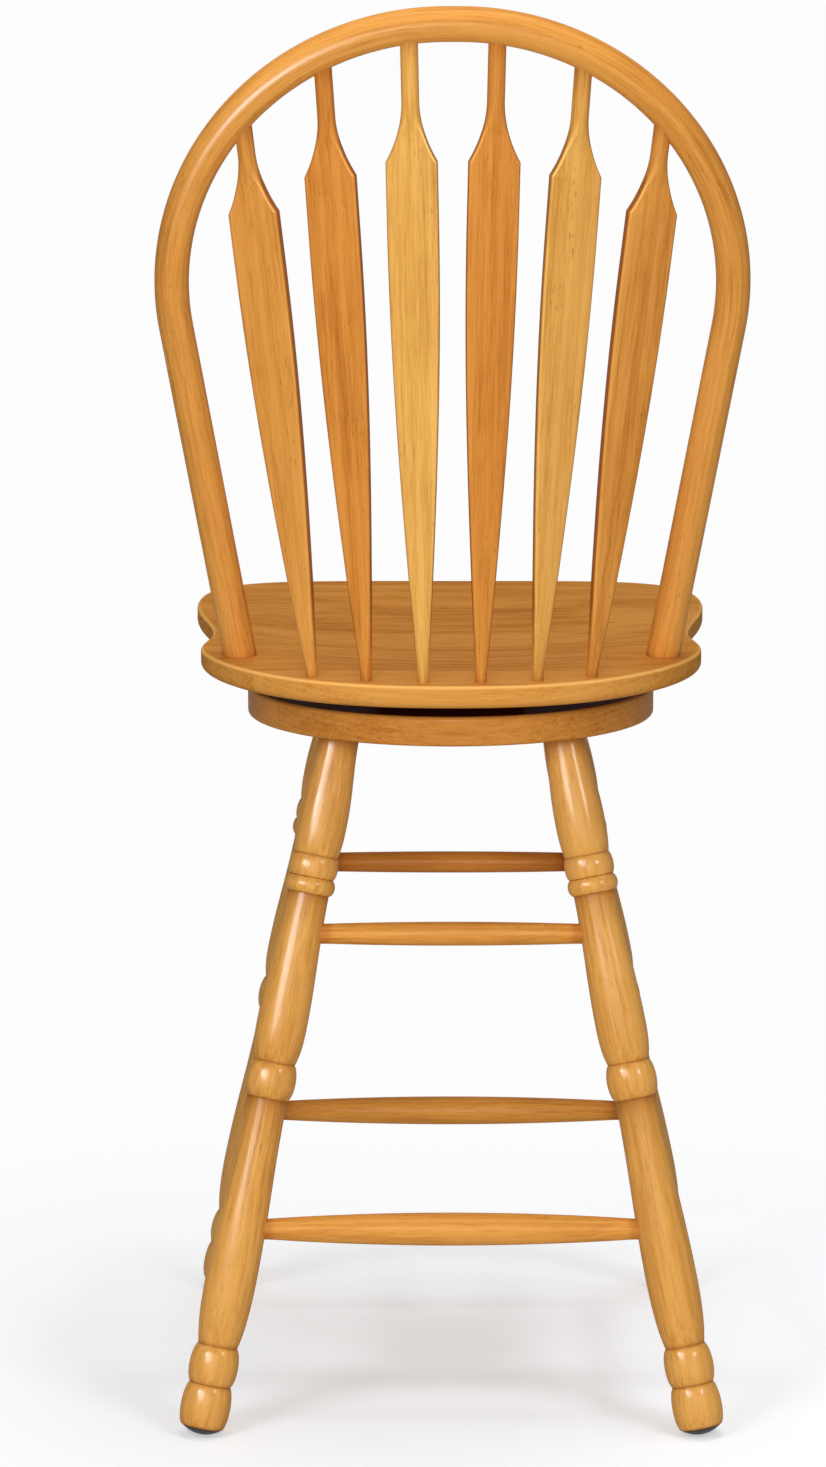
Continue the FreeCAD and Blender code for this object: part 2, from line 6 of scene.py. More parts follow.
import bpy
import numpy as np
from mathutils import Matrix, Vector

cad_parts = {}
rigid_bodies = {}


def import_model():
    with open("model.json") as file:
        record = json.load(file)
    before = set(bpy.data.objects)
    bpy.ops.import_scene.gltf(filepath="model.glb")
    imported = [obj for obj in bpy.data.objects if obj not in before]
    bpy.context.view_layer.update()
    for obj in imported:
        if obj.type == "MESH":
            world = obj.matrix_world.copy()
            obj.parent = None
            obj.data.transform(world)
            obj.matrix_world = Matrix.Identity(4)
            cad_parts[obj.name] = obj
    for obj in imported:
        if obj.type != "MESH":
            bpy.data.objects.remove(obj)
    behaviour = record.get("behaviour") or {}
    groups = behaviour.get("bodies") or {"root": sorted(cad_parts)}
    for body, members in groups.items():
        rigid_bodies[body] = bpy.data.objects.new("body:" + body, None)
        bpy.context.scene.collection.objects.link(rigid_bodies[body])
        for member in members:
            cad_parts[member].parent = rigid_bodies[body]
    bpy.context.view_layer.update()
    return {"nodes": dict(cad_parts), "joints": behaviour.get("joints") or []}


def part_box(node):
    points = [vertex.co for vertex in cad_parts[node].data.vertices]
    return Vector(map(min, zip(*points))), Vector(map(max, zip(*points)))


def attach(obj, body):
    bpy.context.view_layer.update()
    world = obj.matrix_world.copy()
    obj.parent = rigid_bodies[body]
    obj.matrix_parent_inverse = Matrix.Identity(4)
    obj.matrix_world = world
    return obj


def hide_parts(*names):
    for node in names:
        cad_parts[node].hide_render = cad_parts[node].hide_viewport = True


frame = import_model()

bl_info = {
    "name": "Windsor swivel stool",
    "version": (1, 0, 0),
    "blender": (4, 5, 0),
    "location": "3D View > Sidebar > Stool",
    "description": "Dresses the packed stool in turned, bent and shaped oak on a pale stage",
    "category": "Object",
}

# The swivel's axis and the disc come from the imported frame, and the other pieces are laid out from them.
SWIVEL_BACK = frame["joints"][0]["pos_m"][1]
DISC_LOW, DISC_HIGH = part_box("leg_disc")
DISC_RADIUS = (DISC_HIGH.x - DISC_LOW.x) / 2
FIXED, TURNING = "base", "swivel_seat"
SIDES = {"left": 1, "right": -1}
ENDS = {"rear": 1, "front": -1}
FULL_TURN = 2 * math.pi
QUARTER_TURN = math.pi / 2


def length(label, words, metres):
    """One size in metres."""
    return bpy.props.FloatProperty(name=label, description=words, default=metres, unit="LENGTH", precision=4)


def lengths(label, words, metres):
    """A row of sizes in metres."""
    return bpy.props.FloatVectorProperty(
        name=label, description=words, default=metres, size=len(metres), unit="LENGTH", precision=4
    )


def lean(label, words, degrees):
    """One angle, given in degrees."""
    return bpy.props.FloatProperty(
        name=label, description=words, default=math.radians(degrees), subtype="ANGLE"
    )


def leans(label, words, degrees):
    """A row of angles, given in degrees."""
    radians = np.radians(degrees).tolist()
    return bpy.props.FloatVectorProperty(
        name=label, description=words, default=radians, size=len(radians), unit="ROTATION"
    )


def number(label, words, value):
    """One plain number."""
    return bpy.props.FloatProperty(name=label, description=words, default=value)


def watts(label, words, value):
    """The power of one lamp."""
    return bpy.props.FloatProperty(name=label, description=words, default=value, subtype="POWER")


def finish_colour(label, words, red, green, blue):
    """One colour, given as it shows on a screen from 0 to 255 and kept as light, by the screen's curve."""
    shown = np.array([red, green, blue]) / 255
    light = np.where(shown <= 0.04045, shown / 12.92, ((shown + 0.055) / 1.055) ** 2.4)
    return bpy.props.FloatVectorProperty(
        name=label, description=words, default=light.tolist(), size=3, subtype="COLOR", min=0, max=1
    )


class StoolLegSizes(bpy.types.PropertyGroup):
    """Turned legs, from the foot up the leg's axis."""

    splay: lean("Splay", "Lean of each leg, seen from the front and from the side", 11.5)
    top_spread: length("Top spread", "Distance between the legs' axes under the disc", 0.175)
    stage_lengths: lengths(
        "Stage lengths",
        "Foot lobe, foot bead, lower bulb, collar, middle bulb, ring, upper bead and upper bulb",
        (0.034, 0.031, 0.199, 0.029, 0.136, 0.013, 0.0175, 0.1013),
    )
    neck_radii: lengths(
        "Neck radii",
        "Radius at the foot and at the top of each stage",
        (0.0166, 0.0162, 0.0156, 0.0162, 0.0164, 0.0166, 0.0174, 0.0176, 0.0158),
    )
    widest_radii: lengths(
        "Widest radii",
        "Largest radius of each stage",
        (0.0197, 0.0194, 0.0202, 0.0199, 0.0200, 0.0201, 0.0197, 0.0198),
    )
    swell_rises: lengths(
        "Swell rises",
        "Height of a bulb's widest place above its bottom, and zero for a bead",
        (0, 0, 0.0525, 0, 0.029, 0, 0, 0.027),
    )
    top_depth: length("Top depth", "Depth of the leg's top below the top of the disc", 0.006)
    glide_radius: length("Glide radius", "Radius of the domed glide under a foot", 0.015)
    glide_dome: length("Glide dome", "Height of the glide's dome", 0.005)
    glide_rim: length("Glide rim", "Thickness of the glide at its rim", 0.001)
    glide_flat: length("Glide flat", "Depth of the flat that the floor wears on the dome", 0.0005)


class StoolStretcherSizes(bpy.types.PropertyGroup):
    """Turned stretchers in two tiers."""

    lower_heights: lengths("Lower heights", "Rear, front and side, above the floor", (0.1585, 0.1665, 0.1945))
    upper_heights: lengths("Upper heights", "Rear, front and side, above the floor", (0.387, 0.395, 0.359))
    lower_radii: lengths("Lower radii", "Middle radius, rear, front and side", (0.0130, 0.0120, 0.0125))
    upper_radii: lengths("Upper radii", "Middle radius, rear, front and side", (0.0095, 0.0090, 0.00925))
    tenon_radii: lengths("Tenon radii", "Radius at the legs, lower and upper tier", (0.00825, 0.0080))
    tenon_proud: length("Tenon proud", "Length of the plain tenon that shows at a leg", 0.0015)


class StoolSeatSizes(bpy.types.PropertyGroup):
    """Seat board and the disc under the swivel."""

    disc_edge: length("Disc edge", "Radius of the disc's rounded rims", 0.003)
    disc_stave: length("Disc staves", "Width of the boards that the disc is glued up from", 0.09)
    swivel_height: length("Swivel height", "Room between the disc and the seat, on the axis", 0.0232)
    tilt: lean("Tilt", "Backward tilt of the seat", 3.3)
    thickness: length("Thickness", "Thickness of the seat board", 0.0188)
    stave: length("Seat staves", "Width of the boards that the seat is glued up from", 0.083)
    reaches: lengths("Reaches", "Rear and front edge from the swivel axis", (0.1995, 0.205))
    half_widths: lengths("Half widths", "Half width at the rear and at the front", (0.2048, 0.2155))
    rear_squareness: number("Rear squareness", "Power of the outline behind the axis", 2.3)
    front_squareness: number("Front squareness", "Power of the outline in front of the axis", 5.3)
    waist_depth: length("Waist depth", "How far the waist draws the sides in", 0.018)
    waist_back: length("Waist place", "Distance of the waist behind the axis", 0.0035)
    waist_lengths: lengths("Waist lengths", "Run of the waist behind and in front of it", (0.045, 0.0715))
    roll_radii: lengths("Rolled edges", "Radius of the upper and lower edge", (0.003, 0.008))
    scoop_radius: length("Scoop radius", "Radius of the hollow that is sat in", 0.160)
    scoop_depth: length("Scoop depth", "Depth of the hollow", 0.0065)
    scoop_forward: length("Scoop place", "Middle of the hollow in front of the axis", 0.015)
    scoop_rim: length("Scoop rim", "Depth over which the hollow's rim is softened", 0.0002)


class StoolBackSizes(bpy.types.PropertyGroup):
    """Bent bow and arrow spindles. A row of three is for the inner, middle and outer pair of spindles."""

    rod_radius: length("Rod radius", "Radius of the bent rod", 0.0131)
    bow_radius: length("Bow radius", "Radius of the bend, at the rod's middle", 0.208)
    crown: length("Crown", "Short straight run at the top of the bow", 0.0093)
    bow_height: length("Bow height", "Height of the bow up its own plane", 0.519)
    bow_inset: length("Bow inset", "Foot of the bow in from the seat's side", 0.0263)
    bow_back: length("Bow place", "Foot of the bow behind the swivel axis", 0.087)
    bow_lean: lean("Bow lean", "Lean of the bow back from the seat's normal", 14)
    foot_sunk: length("Foot sunk", "Run of a rod's foot that is out of sight in the seat", 0.012)
    foot_arc: length("Foot arc", "Radius of the arc that the spindles stand on", 0.285)
    foot_inset: length("Foot inset", "Spindle feet in from the seat's rear edge", 0.0145)
    foot_pitch: lean("Foot pitch", "Angle between neighbouring spindle feet", 8.9)
    top_turns: leans("Top turns", "Angle of each pair's tops round the bow's bend", (7.8, 26.4, 47.3))
    turn_share: number("Turn share", "Share of the foot's angle that a blade is turned by", 0.7)
    foot_radius: length("Foot radius", "Radius of a spindle's foot", 0.0045)
    top_radius: length("Top radius", "Radius of a spindle's top", 0.0067)
    blade_width: length("Blade width", "Width of a spindle at its shoulder", 0.0388)
    blade_thickness: length("Blade thickness", "Thickness of a spindle's blade", 0.010)
    blade_edge: length("Blade edge", "Radius of the blade's eased edges", 0.0027)
    foot_length: length("Foot length", "Round run at a spindle's foot", 0.008)
    parallel: length("Parallel run", "Run of full width below the shoulder", 0.042)
    flare: length("Flare", "Run from the shoulder to the round neck", 0.045)
    heads: lengths("Heads", "Run of each pair from the shoulder to the bow", (0.0872, 0.0794, 0.0644))


class StoolColours(bpy.types.PropertyGroup):
    """Stain of each group of pieces, and the other finishes."""

    leg: finish_colour("Legs", "Oak of the turned legs", 227, 163, 80)
    stretcher: finish_colour("Stretchers", "Oak of the stretchers", 229, 157, 71)
    disc: finish_colour("Disc", "Oak of the disc", 208, 138, 60)
    seat: finish_colour("Seat", "Oak of the seat", 216, 148, 68)
    bow: finish_colour("Bow", "Oak of the bow", 222, 152, 69)
    pale: finish_colour("Pale spindles", "Oak of the two pale spindles", 234, 175, 88)
    red: finish_colour("Red spindles", "Oak of the two reddish spindles", 216, 140, 59)
    honey: finish_colour("Honey spindles", "Oak of the two outer spindles", 219, 149, 68)
    glide: finish_colour("Glides", "Black plastic of the glides", 26, 25, 25)
    plate: finish_colour("Swivel", "Dark paint of the swivel plates", 40, 20, 20)
    nylon: finish_colour("Bearing", "Nylon of the bearing ring", 214, 208, 192)
    screw: finish_colour("Screws", "Zinc of the screws", 176, 178, 180)
    floor: finish_colour("Floor", "Pale floor", 228, 233, 240)


class StoolStage(bpy.types.PropertyGroup):
    """Camera, lamps and floor."""

    camera_place: lengths("Camera place", "Where it stands, from the swivel axis", (0.0210, 3.6, 1.177))
    camera_pitch: lean("Camera pitch", "Downward pitch of the camera", 10.245)
    camera_shift: number("Camera shift", "Sideways shift of the lens, as a share of the long side", -0.0080)
    focal: number("Focal length", "Millimetres on a sensor 36 mm along the long side", 110.577)
    front_power: watts("Front", "Power of the softbox on the camera's side", 57)
    far_power: watts("Far side", "Power of the softbox that lights the side away from the camera", 38)
    top_power: watts("Top", "Power of the overhead softbox", 30)
    floor_power: watts("Floor", "Power of the overhead softbox that lights the floor alone", 27)
    foot_power: watts("Feet", "Power of each of the two lamps that draw the feet's shadows on the floor", 14)
    leg_gleam: watts("Leg gleam", "Power of the lamp that shows down the legs' varnish", 200)
    bow_gleam: watts("Bow gleam", "Power of the lamp that shows on the bow's left shoulder", 250)
    left_bead_gleam: watts("Left bead gleam", "Power of the left lamp that shows on the beads", 60)
    right_bead_gleam: watts("Right bead gleam", "Power of the right lamp that shows on the beads", 42)
    surround: number("Surround", "Strength of the soft light from all round", 0.10)
    floor_lift: number("Floor lift", "Share of white that the camera sees in the floor itself", 0.515)
    floor_fade: lengths("Floor fade", "Where the floor starts to turn white and where it ends", (0.24, 0.80))
    floor_half: length("Floor half", "Half the side of the square floor", 9.0)


# Materials

# Layers of oak's figure: noise scale across and along the grain, detail, roughness and share of the tone
OAK_LAYERS = {
    "patches": (21, 5, 3.0, 0.55, 0.85),
    "bands": (150, 7, 2.0, 0.5, 0.50),
    "streaks": (430, 11, 3.0, 0.6, 0.75),
    "fibres": (1000, 42, 2.0, 0.6, 0.75),
}
RING_SHARE = 0.10
RING_STRETCH = 0.045
PITH_PLACE = (0.043, 0.067, 0)
# A board of glued wood is moved sideways in its figure, and is darker or paler than its neighbours.
STAVE_DRIFT = 0.3
STAVE_TONE = 0.10
# From the darkest figure to the palest: place on the ramp, and factors for the stain's three lights
OAK_STOPS = (
    (0.0, (0.58, 0.44, 0.29)),
    (0.36, (0.86, 0.80, 0.69)),
    (0.56, (1.0, 1.0, 1.0)),
    (1.0, (1.14, 1.22, 1.38)),
)
# Most of a noise lies between these values.
NOISE_SPAN = (0.3, 0.7)
# Pores: noise scale of the specks and of the crowds they lie in, and the range in which each one starts
SPECK_SCALE = (780, 780, 130)
SPECK_RANGE = (0.665, 0.73)
CROWD_SCALE = (60, 60, 14)
CROWD_RANGE = (0.46, 0.62)
FEWEST_PORES = 0.05
PORE_SHARE = 0.52
PORE_STAIN = (0.28, 0.18, 0.11)
PORE_DULLNESS = 0.25
PORE_DEPTH = 1.2
FIBRE_DULLNESS = 0.06
# What the wear and painted light attribute does: the value at which a stain, painted shade or painted
# highlight starts and is full, the share it then covers, and its factors.
# groove: deeper stain and painted shade; slit: painted shade; crest: paler tone, rubbed wear and painted
# highlight; last: painted highlight
STAINS_AND_PAINTED_LIGHT = {
    "groove": (0, -1, 0.80, (0.42, 0.22, 0.08)),
    "slit": (-1, -2, 0.96, (0.17, 0.018, 0.02)),
    "crest": (0, 1, 0.40, (1.22, 1.34, 1.60)),
    "painted_highlight_edge": (1, 2, 0.85, (1.40, 1.75, 2.50)),
}
# Painted shade: the faces of the slit between the seat and the disc are painted near black.
SLIT_SHADE = -2.0
# The leg's plain top inside the disc is darkened as a groove, with stain and painted shade.
GROOVE_STAIN_AND_SHADE = -1.0


class Tree:
    """A node tree, filled one node at a time."""

    def __init__(self, owner):
        owner.use_nodes = True
        self.tree = owner.node_tree
        self.tree.nodes.clear()

    def add(self, kind, inputs=None, **settings):
        """New node with its settings, and with each named input set or linked."""
        node = self.tree.nodes.new(kind)
        for name, value in settings.items():
            setattr(node, name, value)
        for name, value in (inputs or {}).items():
            if isinstance(value, bpy.types.NodeSocket):
                self.tree.links.new(value, node.inputs[name])
            else:
                node.inputs[name].default_value = value
        return node

    def math(self, operation, first, second=0.0, third=0.0):
        """Result of a sum on two or three values."""
        return self.add("ShaderNodeMath", {0: first, 1: second, 2: third}, operation=operation).outputs[0]

    def remap(self, value, low, high, start=0.0, end=1.0, **settings):
        """A value's range carried to another range and held there."""
        inputs = {"Value": value, "From Min": low, "From Max": high, "To Min": start, "To Max": end}
        return self.add("ShaderNodeMapRange", inputs, **settings).outputs["Result"]

    def noise(self, place, scale, detail, roughness=0.5):
        """Soft noise whose features are stretched by a scale along each axis."""
        mapped = self.add("ShaderNodeMapping", {"Vector": place, "Scale": scale}).outputs["Vector"]
        inputs = {"Vector": mapped, "Scale": 1.0, "Detail": detail, "Roughness": roughness}
        return self.add("ShaderNodeTexNoise", inputs).outputs["Fac"]

    def mix(self, share, first, second):
        """Two colours mixed by a share. A mix of colours has its inputs at 0, 6 and 7."""
        return self.add("ShaderNodeMix", {0: share, 6: first, 7: second}, data_type="RGBA").outputs[2]

    def bump(self, height, strength, distance):
        """Normal of a low relief."""
        inputs = {"Height": height, "Strength": strength, "Distance": distance}
        return self.add("ShaderNodeBump", inputs).outputs["Normal"]

    def surface(self, inputs):
        """Closes the tree with one shader."""
        shader = self.add("ShaderNodeBsdfPrincipled", inputs)
        self.add("ShaderNodeOutputMaterial", {"Surface": shader.outputs["BSDF"]})


def rgba(colour, factors=(1, 1, 1)):
    """Colour with its three lights multiplied by factors, and full cover."""
    return (*(min(1.0, light * factor) for light, factor in zip(colour, factors)), 1.0)


def stave_boards(tree, grain, width):
    """Grain broken into glued boards of one width, each moved in its figure, and a random tone for each."""
    across = tree.add("ShaderNodeSeparateXYZ", {"Vector": grain}).outputs["X"]
    board = tree.math("FLOOR", tree.math("DIVIDE", across, width))
    chance = tree.add("ShaderNodeTexWhiteNoise", {"W": board}, noise_dimensions="1D").outputs["Value"]
    drift = tree.math("MULTIPLY", chance, STAVE_DRIFT)
    shift = tree.add("ShaderNodeCombineXYZ", {"Y": drift, "Z": board}).outputs["Vector"]
    moved = tree.add("ShaderNodeVectorMath", {0: grain, 1: shift}, operation="ADD").outputs[0]
    return moved, tree.remap(chance, 0, 1, -STAVE_TONE, STAVE_TONE)


def growth_rings(tree, grain):
    """Wavy rings round a pith outside the piece, drawn out along the grain."""
    mapping = {"Vector": grain, "Location": PITH_PLACE, "Scale": (1, 1, RING_STRETCH)}
    inputs = {
        "Vector": tree.add("ShaderNodeMapping", mapping).outputs["Vector"],
        "Scale": 62.0,
        "Distortion": 2.0,
        "Detail": 2.0,
        "Detail Scale": 0.6,
    }
    settings = {"wave_type": "RINGS", "rings_direction": "Z", "wave_profile": "SIN"}
    return tree.add("ShaderNodeTexWave", inputs, **settings).outputs["Fac"]


def oak_figure(tree, grain):
    """Tone of the wood and its fibres. Each layer moves the tone up or down from one half by its share."""
    shares = [share for *_, share in OAK_LAYERS.values()]
    tone = 0.5 - 0.5 * (sum(shares) + RING_SHARE)
    layers = {}
    for name, (across, along, detail, roughness, share) in OAK_LAYERS.items():
        layers[name] = tree.noise(grain, (across, across, along), detail, roughness)
        tone = tree.math("MULTIPLY_ADD", layers[name], share, tone)
    tone = tree.math("MULTIPLY_ADD", growth_rings(tree, grain), RING_SHARE, tone)
    return tone, layers["fibres"]


def oak_pores(tree, grain):
    """Short dark pores: the peaks of a fine noise, kept where a broad noise crowds them."""
    specks = tree.remap(tree.noise(grain, SPECK_SCALE, 1.0), *SPECK_RANGE)
    crowds = tree.remap(tree.noise(grain, CROWD_SCALE, 1.0), *CROWD_RANGE, start=FEWEST_PORES)
    return tree.math("MULTIPLY", specks, crowds)


def oak_shade(tree, colour, tone, pores, wear):
    """Stain that follows the tone on a ramp and is dark in the pores. The wear and painted light attribute
    deepens it in grooves with stain and painted shade, paints shade in the slit, makes crests paler with
    rubbed wear and painted highlights, and paints highlights on bright edges.
    """
    ramp = tree.add("ShaderNodeValToRGB", {"Fac": tone})
    elements = ramp.color_ramp.elements
    for place, _ in OAK_STOPS[1:-1]:
        elements.new(place)
    for element, (place, factors) in zip(elements, OAK_STOPS):
        element.position = place
        element.color = rgba(colour, factors)
    covered = tree.math("MULTIPLY", pores, PORE_SHARE)
    shade = tree.mix(covered, ramp.outputs["Color"], rgba(colour, PORE_STAIN))
    for start, full, share, factors in STAINS_AND_PAINTED_LIGHT.values():
        shade = tree.mix(tree.remap(wear, start, full, 0, share), shade, rgba(colour, factors))
    return shade


def oak(name, colour, coat=0.16, satin=0.23, roughness=0.42, stave=0.0):
    """Varnished oak, read from the piece's grain attribute, whose third axis runs along the wood.

    Tone is a sum of broad patches, bands, growth rings round a far pith, streaks and fibres, all drawn out
    along the grain. Short dark pores lie in it. As the wear and painted light attribute says, stain and
    painted shade deepen it in grooves, painted shade darkens the slit, and crests and edges are paler with
    rubbed wear and painted highlights. A stave width breaks the wood into glued boards.
    """
    material = bpy.data.materials.new(f"finished_{name}")
    tree = Tree(material)
    grain = tree.add("ShaderNodeAttribute", attribute_name="grain").outputs["Vector"]
    wear = tree.add("ShaderNodeAttribute", attribute_name="wear").outputs["Fac"]
    if stave:
        grain, board_tone = stave_boards(tree, grain, stave)
    tone, fibres = oak_figure(tree, grain)
    if stave:
        tone = tree.math("ADD", tone, board_tone)
    pores = oak_pores(tree, grain)
    polish = tree.remap(fibres, *NOISE_SPAN, roughness - FIBRE_DULLNESS, roughness + FIBRE_DULLNESS)
    relief = tree.math("MULTIPLY_ADD", pores, -PORE_DEPTH, fibres)
    tree.surface({
        "Base Color": oak_shade(tree, colour, tone, pores, wear),
        "Roughness": tree.math("MULTIPLY_ADD", pores, PORE_DULLNESS, polish),
        "Normal": tree.bump(relief, strength=0.14, distance=0.0003),
        "Specular IOR Level": 0.0,
        "Coat Weight": coat,
        "Coat Roughness": satin,
    })
    return material


def moulded(name, colour, roughness, speck, contrast, metal=0.0):
    """Plastic, paint or zinc: a fine mottle and a few broad scuffs in colour, gloss and relief."""
    material = bpy.data.materials.new(f"finished_{name}")
    tree = Tree(material)
    place = tree.add("ShaderNodeTexCoord").outputs["Object"]
    mottle = tree.noise(place, (speck, speck, speck), 2.0)
    scuffs = tree.noise(place, (speck / 12, speck / 12, speck / 5), 4.0, 0.65)
    dark = rgba(colour, (1 - contrast,) * 3)
    pale = rgba(colour, (1 + contrast,) * 3)
    polish = tree.remap(mottle, *NOISE_SPAN, roughness - 0.18, roughness - 0.08)
    tree.surface({
        "Base Color": tree.mix(tree.remap(scuffs, 0.35, 0.7), dark, pale),
        "Metallic": metal,
        "Roughness": tree.math("MULTIPLY_ADD", scuffs, 0.3, polish),
        "Normal": tree.bump(mottle, strength=0.15, distance=0.0002),
    })
    return material


# Surfaces


def eased(count):
    """Numbers from 0 to 1, closer together at both ends: half of one less a cosine."""
    return (1 - np.cos(np.linspace(0, math.pi, count))) / 2


def bezier(poles, count):
    """Points of a Bezier curve: its poles weighted by the Bernstein polynomials."""
    t = eased(count)[:, None]
    degree = len(poles) - 1
    weights = [math.comb(degree, k) * t**k * (1 - t) ** (degree - k) for k in range(degree + 1)]
    return np.hstack(weights) @ np.array(poles)


def turned(profile, around):
    """Surface of revolution about Z: each (radius, level) of a profile carried round a full turn."""
    turn = np.linspace(0, FULL_TURN, around, endpoint=False)
    radius, level = profile[:, :1], profile[:, 1:]
    return np.stack([radius * np.cos(turn), radius * np.sin(turn), level + 0 * turn], axis=-1)


def axes(direction, across):
    """Three unit rows: X near across, Y square to both, and Z along direction."""
    z = direction / np.linalg.norm(direction)
    x = across - (across @ z) * z
    x = x / np.linalg.norm(x)
    return np.stack([x, np.cross(z, x), z])


def gathered_darkening(away, depth, reach):
    """Darkening that gathers in a corner: deeper stain and painted shade in grooves, and painted shade under
    the disc and where pieces meet. It is full at the corner, and less by an exponential away from it.
    """
    return depth * np.exp(-np.maximum(away, 0) / reach)


def round_rows(values, around):
    """One value for each row, the same all round the row."""
    return np.repeat(np.asarray(values, float)[:, None], around, axis=1)


def with_ends(values):
    """The values of a grid in one list, with the mean of its first row and of its last row after them."""
    rows, around = values.shape[:2]
    flat = values.reshape(rows * around, -1)
    first = values[:1].mean(axis=1).reshape(1, -1)
    last = values[-1:].mean(axis=1).reshape(1, -1)
    return np.concatenate([flat, first, last])


def skin(name, grid, grain, wear):
    """Closed mesh over a grid of points: quads round and between the rows, and a fan on each end row."""
    rows, around = grid.shape[:2]
    index = np.arange(rows * around).reshape(rows, around)
    beside = np.roll(index, -1, axis=1)
    quads = np.stack([index[:-1], beside[:-1], beside[1:], index[1:]], axis=-1).reshape(-1, 4)
    low_end = np.full(around, rows * around)
    low_fan = np.stack([low_end, beside[0], index[0]], axis=-1)
    high_fan = np.stack([low_end + 1, index[-1], beside[-1]], axis=-1)
    mesh = bpy.data.meshes.new(name)
    mesh.from_pydata(with_ends(grid).tolist(), [], quads.tolist() + low_fan.tolist() + high_fan.tolist())
    mesh.attributes.new("grain", "FLOAT_VECTOR", "POINT").data.foreach_set("vector", with_ends(grain).ravel())
    mesh.attributes.new("wear", "FLOAT", "POINT").data.foreach_set("value", with_ends(wear).ravel())
    mesh.shade_smooth()
    return mesh


def stand_in(mesh, material, body, node):
    """Puts a mesh in the scene for a CAD node, riding on its body with the given finish."""
    mesh.materials.append(material)
    piece = bpy.data.objects.new(mesh.name, mesh)
    bpy.context.scene.collection.objects.link(piece)
    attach(piece, body)
    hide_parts(node)


def repaint(node, material):
    """Gives a CAD node that stays in view a better material."""
    mesh = frame["nodes"][node].data
    mesh.materials.clear()
    mesh.materials.append(material)


# Legs and glides

LEG_AROUND = 72
SWELL_ROWS = 18
TAPER_ROWS = 34
BEAD_ROWS = 30
# How full a bulb swells and how slowly it tapers, and where a bead's shoulders lie, as shares of the run
SWELL_FULLNESS = 0.35
TAPER_EASE = 0.4
BEAD_SHOULDERS = (0.15, 0.82)
# A cubic whose two middle poles stand out alike reaches this share of the way to them.
CUBIC_REACH = 0.75
BULB_TONE = 0.25
FOOT_STAIN = -0.6
GLIDE_AROUND = 64
GLIDE_ROWS = 20
LegLayout = namedtuple("LegLayout", "slope rise dome centre foot spread")


def corners():
    """The four corners of the base, each with its name, side and end."""
    return [
        (f"{end_name}_{side_name}", side, end)
        for end_name, end in ENDS.items()
        for side_name, side in SIDES.items()
    ]


def leg_layout(sizes):
    """Slope and rise of a leg's axis, its glide's dome and the dome's centre, its foot and the feet's spread.

    The dome's radius follows from its width and height, and it is cut flat where it meets the floor.
    """
    slope = math.tan(sizes.splay)
    rise = 1 / math.sqrt(1 + 2 * slope**2)
    dome = (sizes.glide_radius**2 + sizes.glide_dome**2) / (2 * sizes.glide_dome)
    centre = (dome - sizes.glide_flat) / rise
    foot = centre - dome + sizes.glide_dome + sizes.glide_rim
    spread = sizes.top_spread / 2 + DISC_LOW.z * slope
    return LegLayout(slope, rise, dome, centre, foot, spread)


def leg_axes(sizes, side, end):
    """Foot point on the floor and the three unit rows of a leg, whose Z runs up its axis."""
    layout = leg_layout(sizes)
    foot = np.array([side * layout.spread, end * layout.spread + SWIVEL_BACK, 0.0])
    upward = np.array([-side * layout.slope, -end * layout.slope, 1.0])
    return foot, axes(upward, np.array([1.0, 0.0, 0.0]))


def bulb(low, widest, high, level, swell, run):
    """Profile, wear and painted shade of a bulb: a quadratic swell to its widest place, then a cubic taper in
    an S.
    """
    turn = level + swell
    top = level + run
    ease = TAPER_EASE * (top - turn)
    fullness = level + SWELL_FULLNESS * swell
    swelling = bezier([(low, level), (widest, fullness), (widest, turn)], SWELL_ROWS)
    taper = bezier([(widest, turn), (widest, turn + ease), (high, top - ease), (high, top)], TAPER_ROWS)
    up, down = eased(SWELL_ROWS), eased(TAPER_ROWS)
    # The swell darkens at its foot and the taper towards its top and at its end, with stain and painted shade
    # in the grooves.
    swell_wear_and_shade = BULB_TONE - gathered_darkening(up, depth=1.2, reach=0.07)
    taper_wear_and_shade = BULB_TONE - 0.6 * down**3 - gathered_darkening(1 - down, depth=0.6, reach=0.03)
    return np.concatenate([swelling[:-1], taper[:-1]]), np.concatenate([swell_wear_and_shade[:-1], taper_wear_and_shade[:-1]])


def bead(low, widest, high, level, run):
    """Profile, wear and painted light of a bead: one cubic, full and round at both ends."""
    middle = (low + high) / 2
    reach = middle + (widest - middle) / CUBIC_REACH
    shoulders = [(reach, level + share * run) for share in BEAD_SHOULDERS]
    poles = [(low, level), *shoulders, (high, level + run)]
    up = eased(BEAD_ROWS)
    # The crest is paler, by rubbed wear and a painted highlight, and both ends darken with stain and painted
    # shade in the grooves.
    crest = 0.5 * np.sin(math.pi * up)
    wear = crest - gathered_darkening(up, depth=1.5, reach=0.05) - gathered_darkening(1 - up, depth=0.6, reach=0.06)
    return bezier(poles, BEAD_ROWS)[:-1], wear[:-1]


